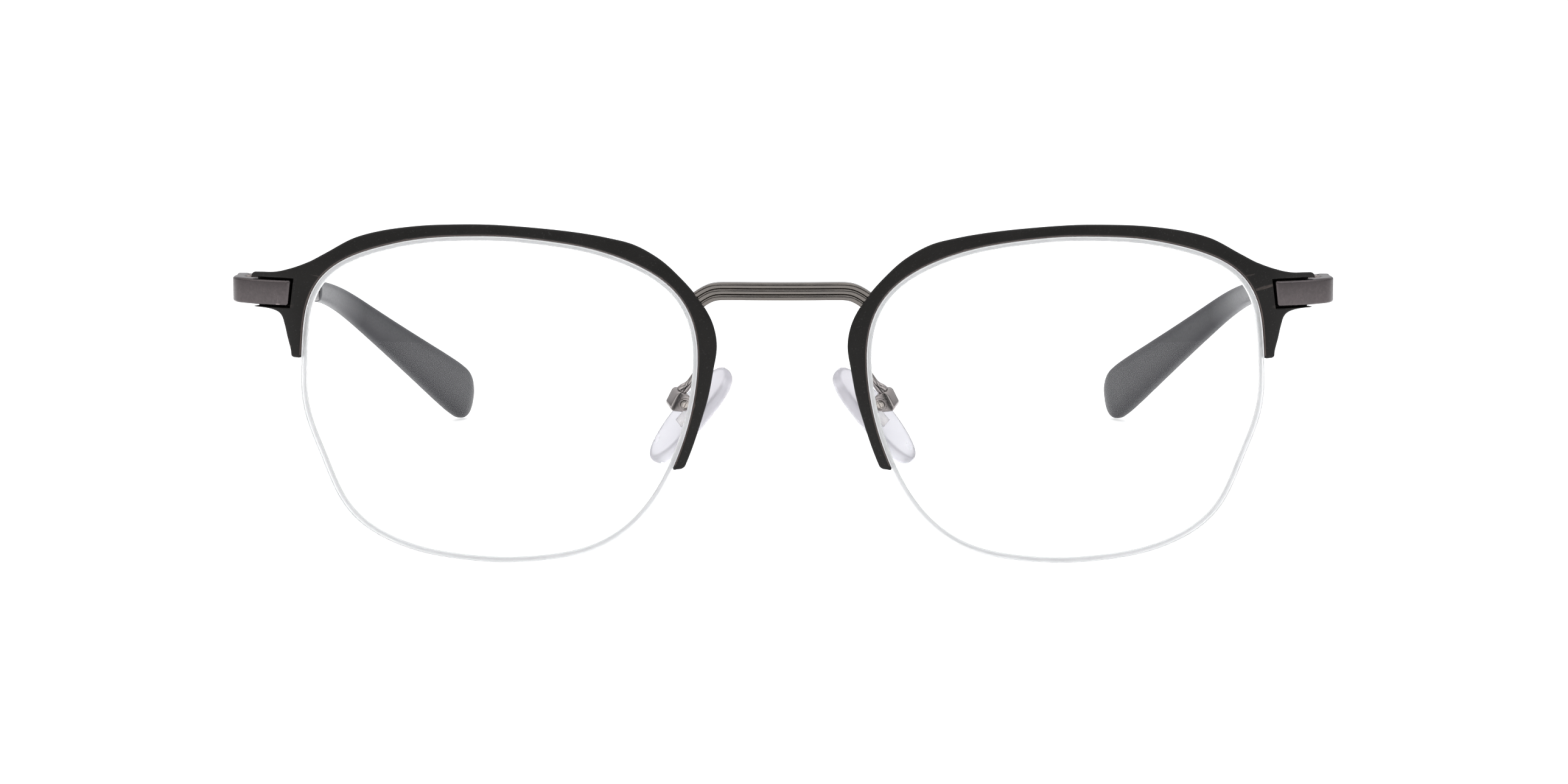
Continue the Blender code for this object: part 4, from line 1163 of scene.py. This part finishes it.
def pad_arm(side, name):
    half, top = BOX_LEN / 2, BOX_BACK
    discs = ((0.0, 0.0, 0.84), (-half + 0.62, top + 0.62, 0.62), (half - 0.62, top + 0.62, 0.62),
             (-0.74, -0.12, 0.55), (0.62, -0.12, 0.5))
    def outline(shrink):
        pts = []
        for k in range(72):
            t = 2 * math.pi * (k + 0.5) / 72
            c = max(discs, key=lambda q: q[0] * math.cos(t) + q[1] * math.sin(t) + q[2])
            pts.append((c[0] + (c[2] - shrink) * math.cos(t), c[1] + (c[2] - shrink) * math.sin(t)))
        return pts

    roll = 0.2
    secs = [[box_point(a, w, q) for a, q in outline(shrink)] for w, shrink in
            [(-BOX_HALF_W + roll * (1 - math.cos(t)), roll * (1 - math.sin(t))) for t in np.linspace(0, math.pi / 2, 6)]
            + [(BOX_HALF_W - roll * (1 - math.cos(t)), roll * (1 - math.sin(t))) for t in np.linspace(math.pi / 2, 0, 6)]]
    ob = to_object(name, loft(secs), BOX_METAL, side)
    # the floor of the cup and its end wall are left standing, as in a folded cup
    slot = to_object(name + "_s", box_bm(box_point(2.27, 0, (top + 0.5) / 2 + 1.0), BOX_A, PAD_W, BOX_N,
                                         (6.5, 2 * BOX_SLOT_HALF_W, 2.0 - (top + 0.5))), BOX_METAL, side)
    bore = to_object(name + "_b", turned(PAD_PIVOT, PAD_W, ((-2, PAD_BORE_R), (2, PAD_BORE_R)), 32), BOX_METAL, side)
    path = curve_through(ARM_PATH + (tuple(box_point(-1.2, 0, -0.85)),), per=8)
    last = len(path) - 1
    flare = [ARM_R + 0.24 * ease((i - last + 12) / 10) for i in range(len(path))]
    wire = to_object(name + "_w", tube_bm(path, lambda i: flare[i], 24), BOX_METAL, side)
    w = BOX_HALF_W
    boss = to_object(name + "_r", turned(PAD_PIVOT, PAD_W, ((-w - 0.03, 0.78), (-w - 0.09, 0.84), (-w - 0.03, 0.88), (-w + 0.12, 0.88))[1:],
                                         48), BOX_METAL, side)
    dish = to_object(name + "_d", turned(PAD_PIVOT, PAD_W, ((-w - 0.4, 0.74), (-w - 0.01, 0.70)), 48), BOX_METAL, side)
    return carve(ob, [(wire, "UNION"), (boss, "UNION"), (dish, "DIFFERENCE"), (slot, "DIFFERENCE"), (bore, "DIFFERENCE")], smooth=40)


def pad_screw(side, name):
    w = BOX_HALF_W
    prof = [(w + 0.15, PAD_SCREW_R - 0.05), (w + 0.1, PAD_SCREW_R), (-w - 0.02, PAD_SCREW_R), (-w - 0.02, 0.54), (-w - 0.06, 0.58),
            (-w - 0.16, 0.58), (-w - 0.22, 0.54), (-w - 0.24, 0.48), (-w - 0.22, 0.42), (-w - 0.17, 0.38), (-w - 0.17, 0.2)]
    ob = to_object(name, turned(PAD_PIVOT, PAD_W, prof[::-1], 48), STEEL, side)
    slot = to_object(name + "_s", box_bm(box_point(0, -w - 0.17, 0), BOX_A, PAD_W, BOX_N, (0.74, 0.22, 0.15)), STEEL, side)
    return carve(ob, [(slot, "DIFFERENCE")], smooth=35)


# ===================================================================== assembly
bridge()
for side, who in ((-1, "right"), (1, "left")):
    arm = who + "_temple_assembly"
    pad = who + "_pad_assembly"
    piece(rim(side, who + "_half_rim"), "front", who + "_rim")
    piece(lens(side, who + "_clear_lens"), "front", who + "_lens")
    piece(liner(side, who + "_liner"), "front", who + "_rim_liner")
    piece(cord(side, who + "_cord"), "front", who + "_nylon_cord")
    piece(endpiece(side, who + "_end_bar"), "front", who + "_endpiece")
    piece(hinge_leaf(side, who + "_front_leaf", (0, 2), -1), "front", who + "_hinge_front_leaf")
    piece(hinge_leaf(side, who + "_rear_leaf", (1,), 1), arm, who + "_hinge_rear_leaf")
    piece(hinge_screw(side, who + "_hinge_pin"), "front", who + "_hinge_screw")
    piece(temple(side, who + "_temple_bar"), arm, who + "_temple")
    piece(temple_tip(side, who + "_tip"), arm, who + "_temple_tip")
    piece(pad_arm(side, who + "_pad_cup"), "front", who + "_pad_arm")
    piece(pad_screw(side, who + "_pad_pin"), "front", who + "_pad_screw")
    piece(nose_pad(side, who + "_pad"), pad, who + "_nose_pad")
    piece(pad_insert(side, who + "_pad_core"), pad, who + "_pad_insert")


# ======================================================== floor, light, camera
def floor():
    bm = bmesh.new()
    bmesh.ops.create_grid(bm, x_segments=1, y_segments=1, size=9.0)
    me = bpy.data.meshes.new("floor")
    bm.to_mesh(me)
    bm.free()
    ob = bpy.data.objects.new("floor", me)
    ob.location = (0, 0, -0.0001)
    bpy.context.scene.collection.objects.link(ob)
    s = Shader("floor_white", (0.86, 0.86, 0.86), 0.9, 0.0, Specular_IOR_Level=0.0)
    s.bsdf.inputs["Emission Color"].default_value = (1, 1, 1, 1)
    s.bsdf.inputs["Emission Strength"].default_value = 0.5
    me.materials.append(s.mat)


floor()

world = bpy.data.worlds.new("studio")
bpy.context.scene.world = world
world.use_nodes = True
wt = world.node_tree
wt.nodes.clear()
out = wt.nodes.new("ShaderNodeOutputWorld")
bg = wt.nodes.new("ShaderNodeBackground")
tc = wt.nodes.new("ShaderNodeTexCoord")
sep = wt.nodes.new("ShaderNodeSeparateXYZ")
wt.links.new(tc.outputs["Generated"], sep.inputs[0])


def world_ramp(axis, stops):
    mr = wt.nodes.new("ShaderNodeMapRange")
    mr.inputs["From Min"].default_value = -1.0
    mr.inputs["From Max"].default_value = 1.0
    wt.links.new(sep.outputs[axis], mr.inputs["Value"])
    r = wt.nodes.new("ShaderNodeValToRGB")
    el = r.color_ramp.elements
    while len(el) > 1:
        el.remove(el[-1])
    for i, (pos, k) in enumerate(stops):
        q = el[0] if i == 0 else el.new(pos)
        q.position, q.color = pos, (k, k, k * 1.01, 1)
    wt.links.new(mr.outputs["Result"], r.inputs["Fac"])
    return r.outputs["Color"]


rise = world_ramp("Z", ((0.0, 0.5), (0.45, 0.5), (0.6, 0.85), (1.0, 1.25)))
depth = world_ramp("Y", ((0.0, 0.22), (0.2, 0.3), (0.5, 0.75), (0.75, 1.0), (1.0, 1.0)))
both = wt.nodes.new("ShaderNodeMix")
both.data_type = "RGBA"
both.blend_type = "MULTIPLY"
both.inputs[0].default_value = 1.0
wt.links.new(rise, both.inputs[6])
wt.links.new(depth, both.inputs[7])
wt.links.new(both.outputs[2], bg.inputs["Color"])
bg.inputs["Strength"].default_value = 1.0
wt.links.new(bg.outputs[0], out.inputs["Surface"])


def softbox(name, loc, aim, size, watts, tint=(1, 1, 1)):
    la = bpy.data.lights.new(name, "AREA")
    la.shape = "RECTANGLE"
    la.size, la.size_y = size
    la.energy = watts
    la.color = tint
    ob = bpy.data.objects.new(name, la)
    bpy.context.scene.collection.objects.link(ob)
    ob.location = loc
    ob.rotation_euler = (Vector(aim) - Vector(loc)).to_track_quat("-Z", "Y").to_euler()
    return ob


softbox("top_box", (0.0, 0.05, 1.4), (0, 0, 0), (1.8, 1.2), 9.0)
softbox("left_box", (-1.2, -0.6, 0.8), (0, -0.05, 0.02), (0.7, 0.9), 3.5, (1.0, 0.98, 0.96))
softbox("right_box", (1.2, -0.6, 0.8), (0, -0.05, 0.02), (0.7, 0.9), 3.5, (0.97, 0.98, 1.0))
softbox("left_strip", (-0.40, -0.95, 0.80), (0, -0.07, 0.03), (0.75, 0.5), 2.2)
softbox("right_strip", (0.40, -0.95, 0.80), (0, -0.07, 0.03), (0.75, 0.5), 2.2)

cam = bpy.data.cameras.new("camera")
cam.sensor_width = 36.0
cam.lens = 108.3
cam.clip_start = 0.01
cam.clip_end = 50.0
cam_ob = bpy.data.objects.new("camera", cam)
bpy.context.scene.collection.objects.link(cam_ob)
target = place((0.232, 0.0, 0.0))
el, az = math.radians(6.85), math.radians(0.38)
back = Vector((math.sin(az) * math.cos(el), -math.cos(az) * math.cos(el), math.sin(el)))
cam_ob.location = target + back * 0.600
cam_ob.rotation_euler = (-back).to_track_quat("-Z", "Y").to_euler()
bpy.context.scene.camera = cam_ob
bpy.context.scene.view_settings.view_transform = "Standard"
bpy.context.scene.view_settings.look = "None"

bpy.context.view_layer.update()
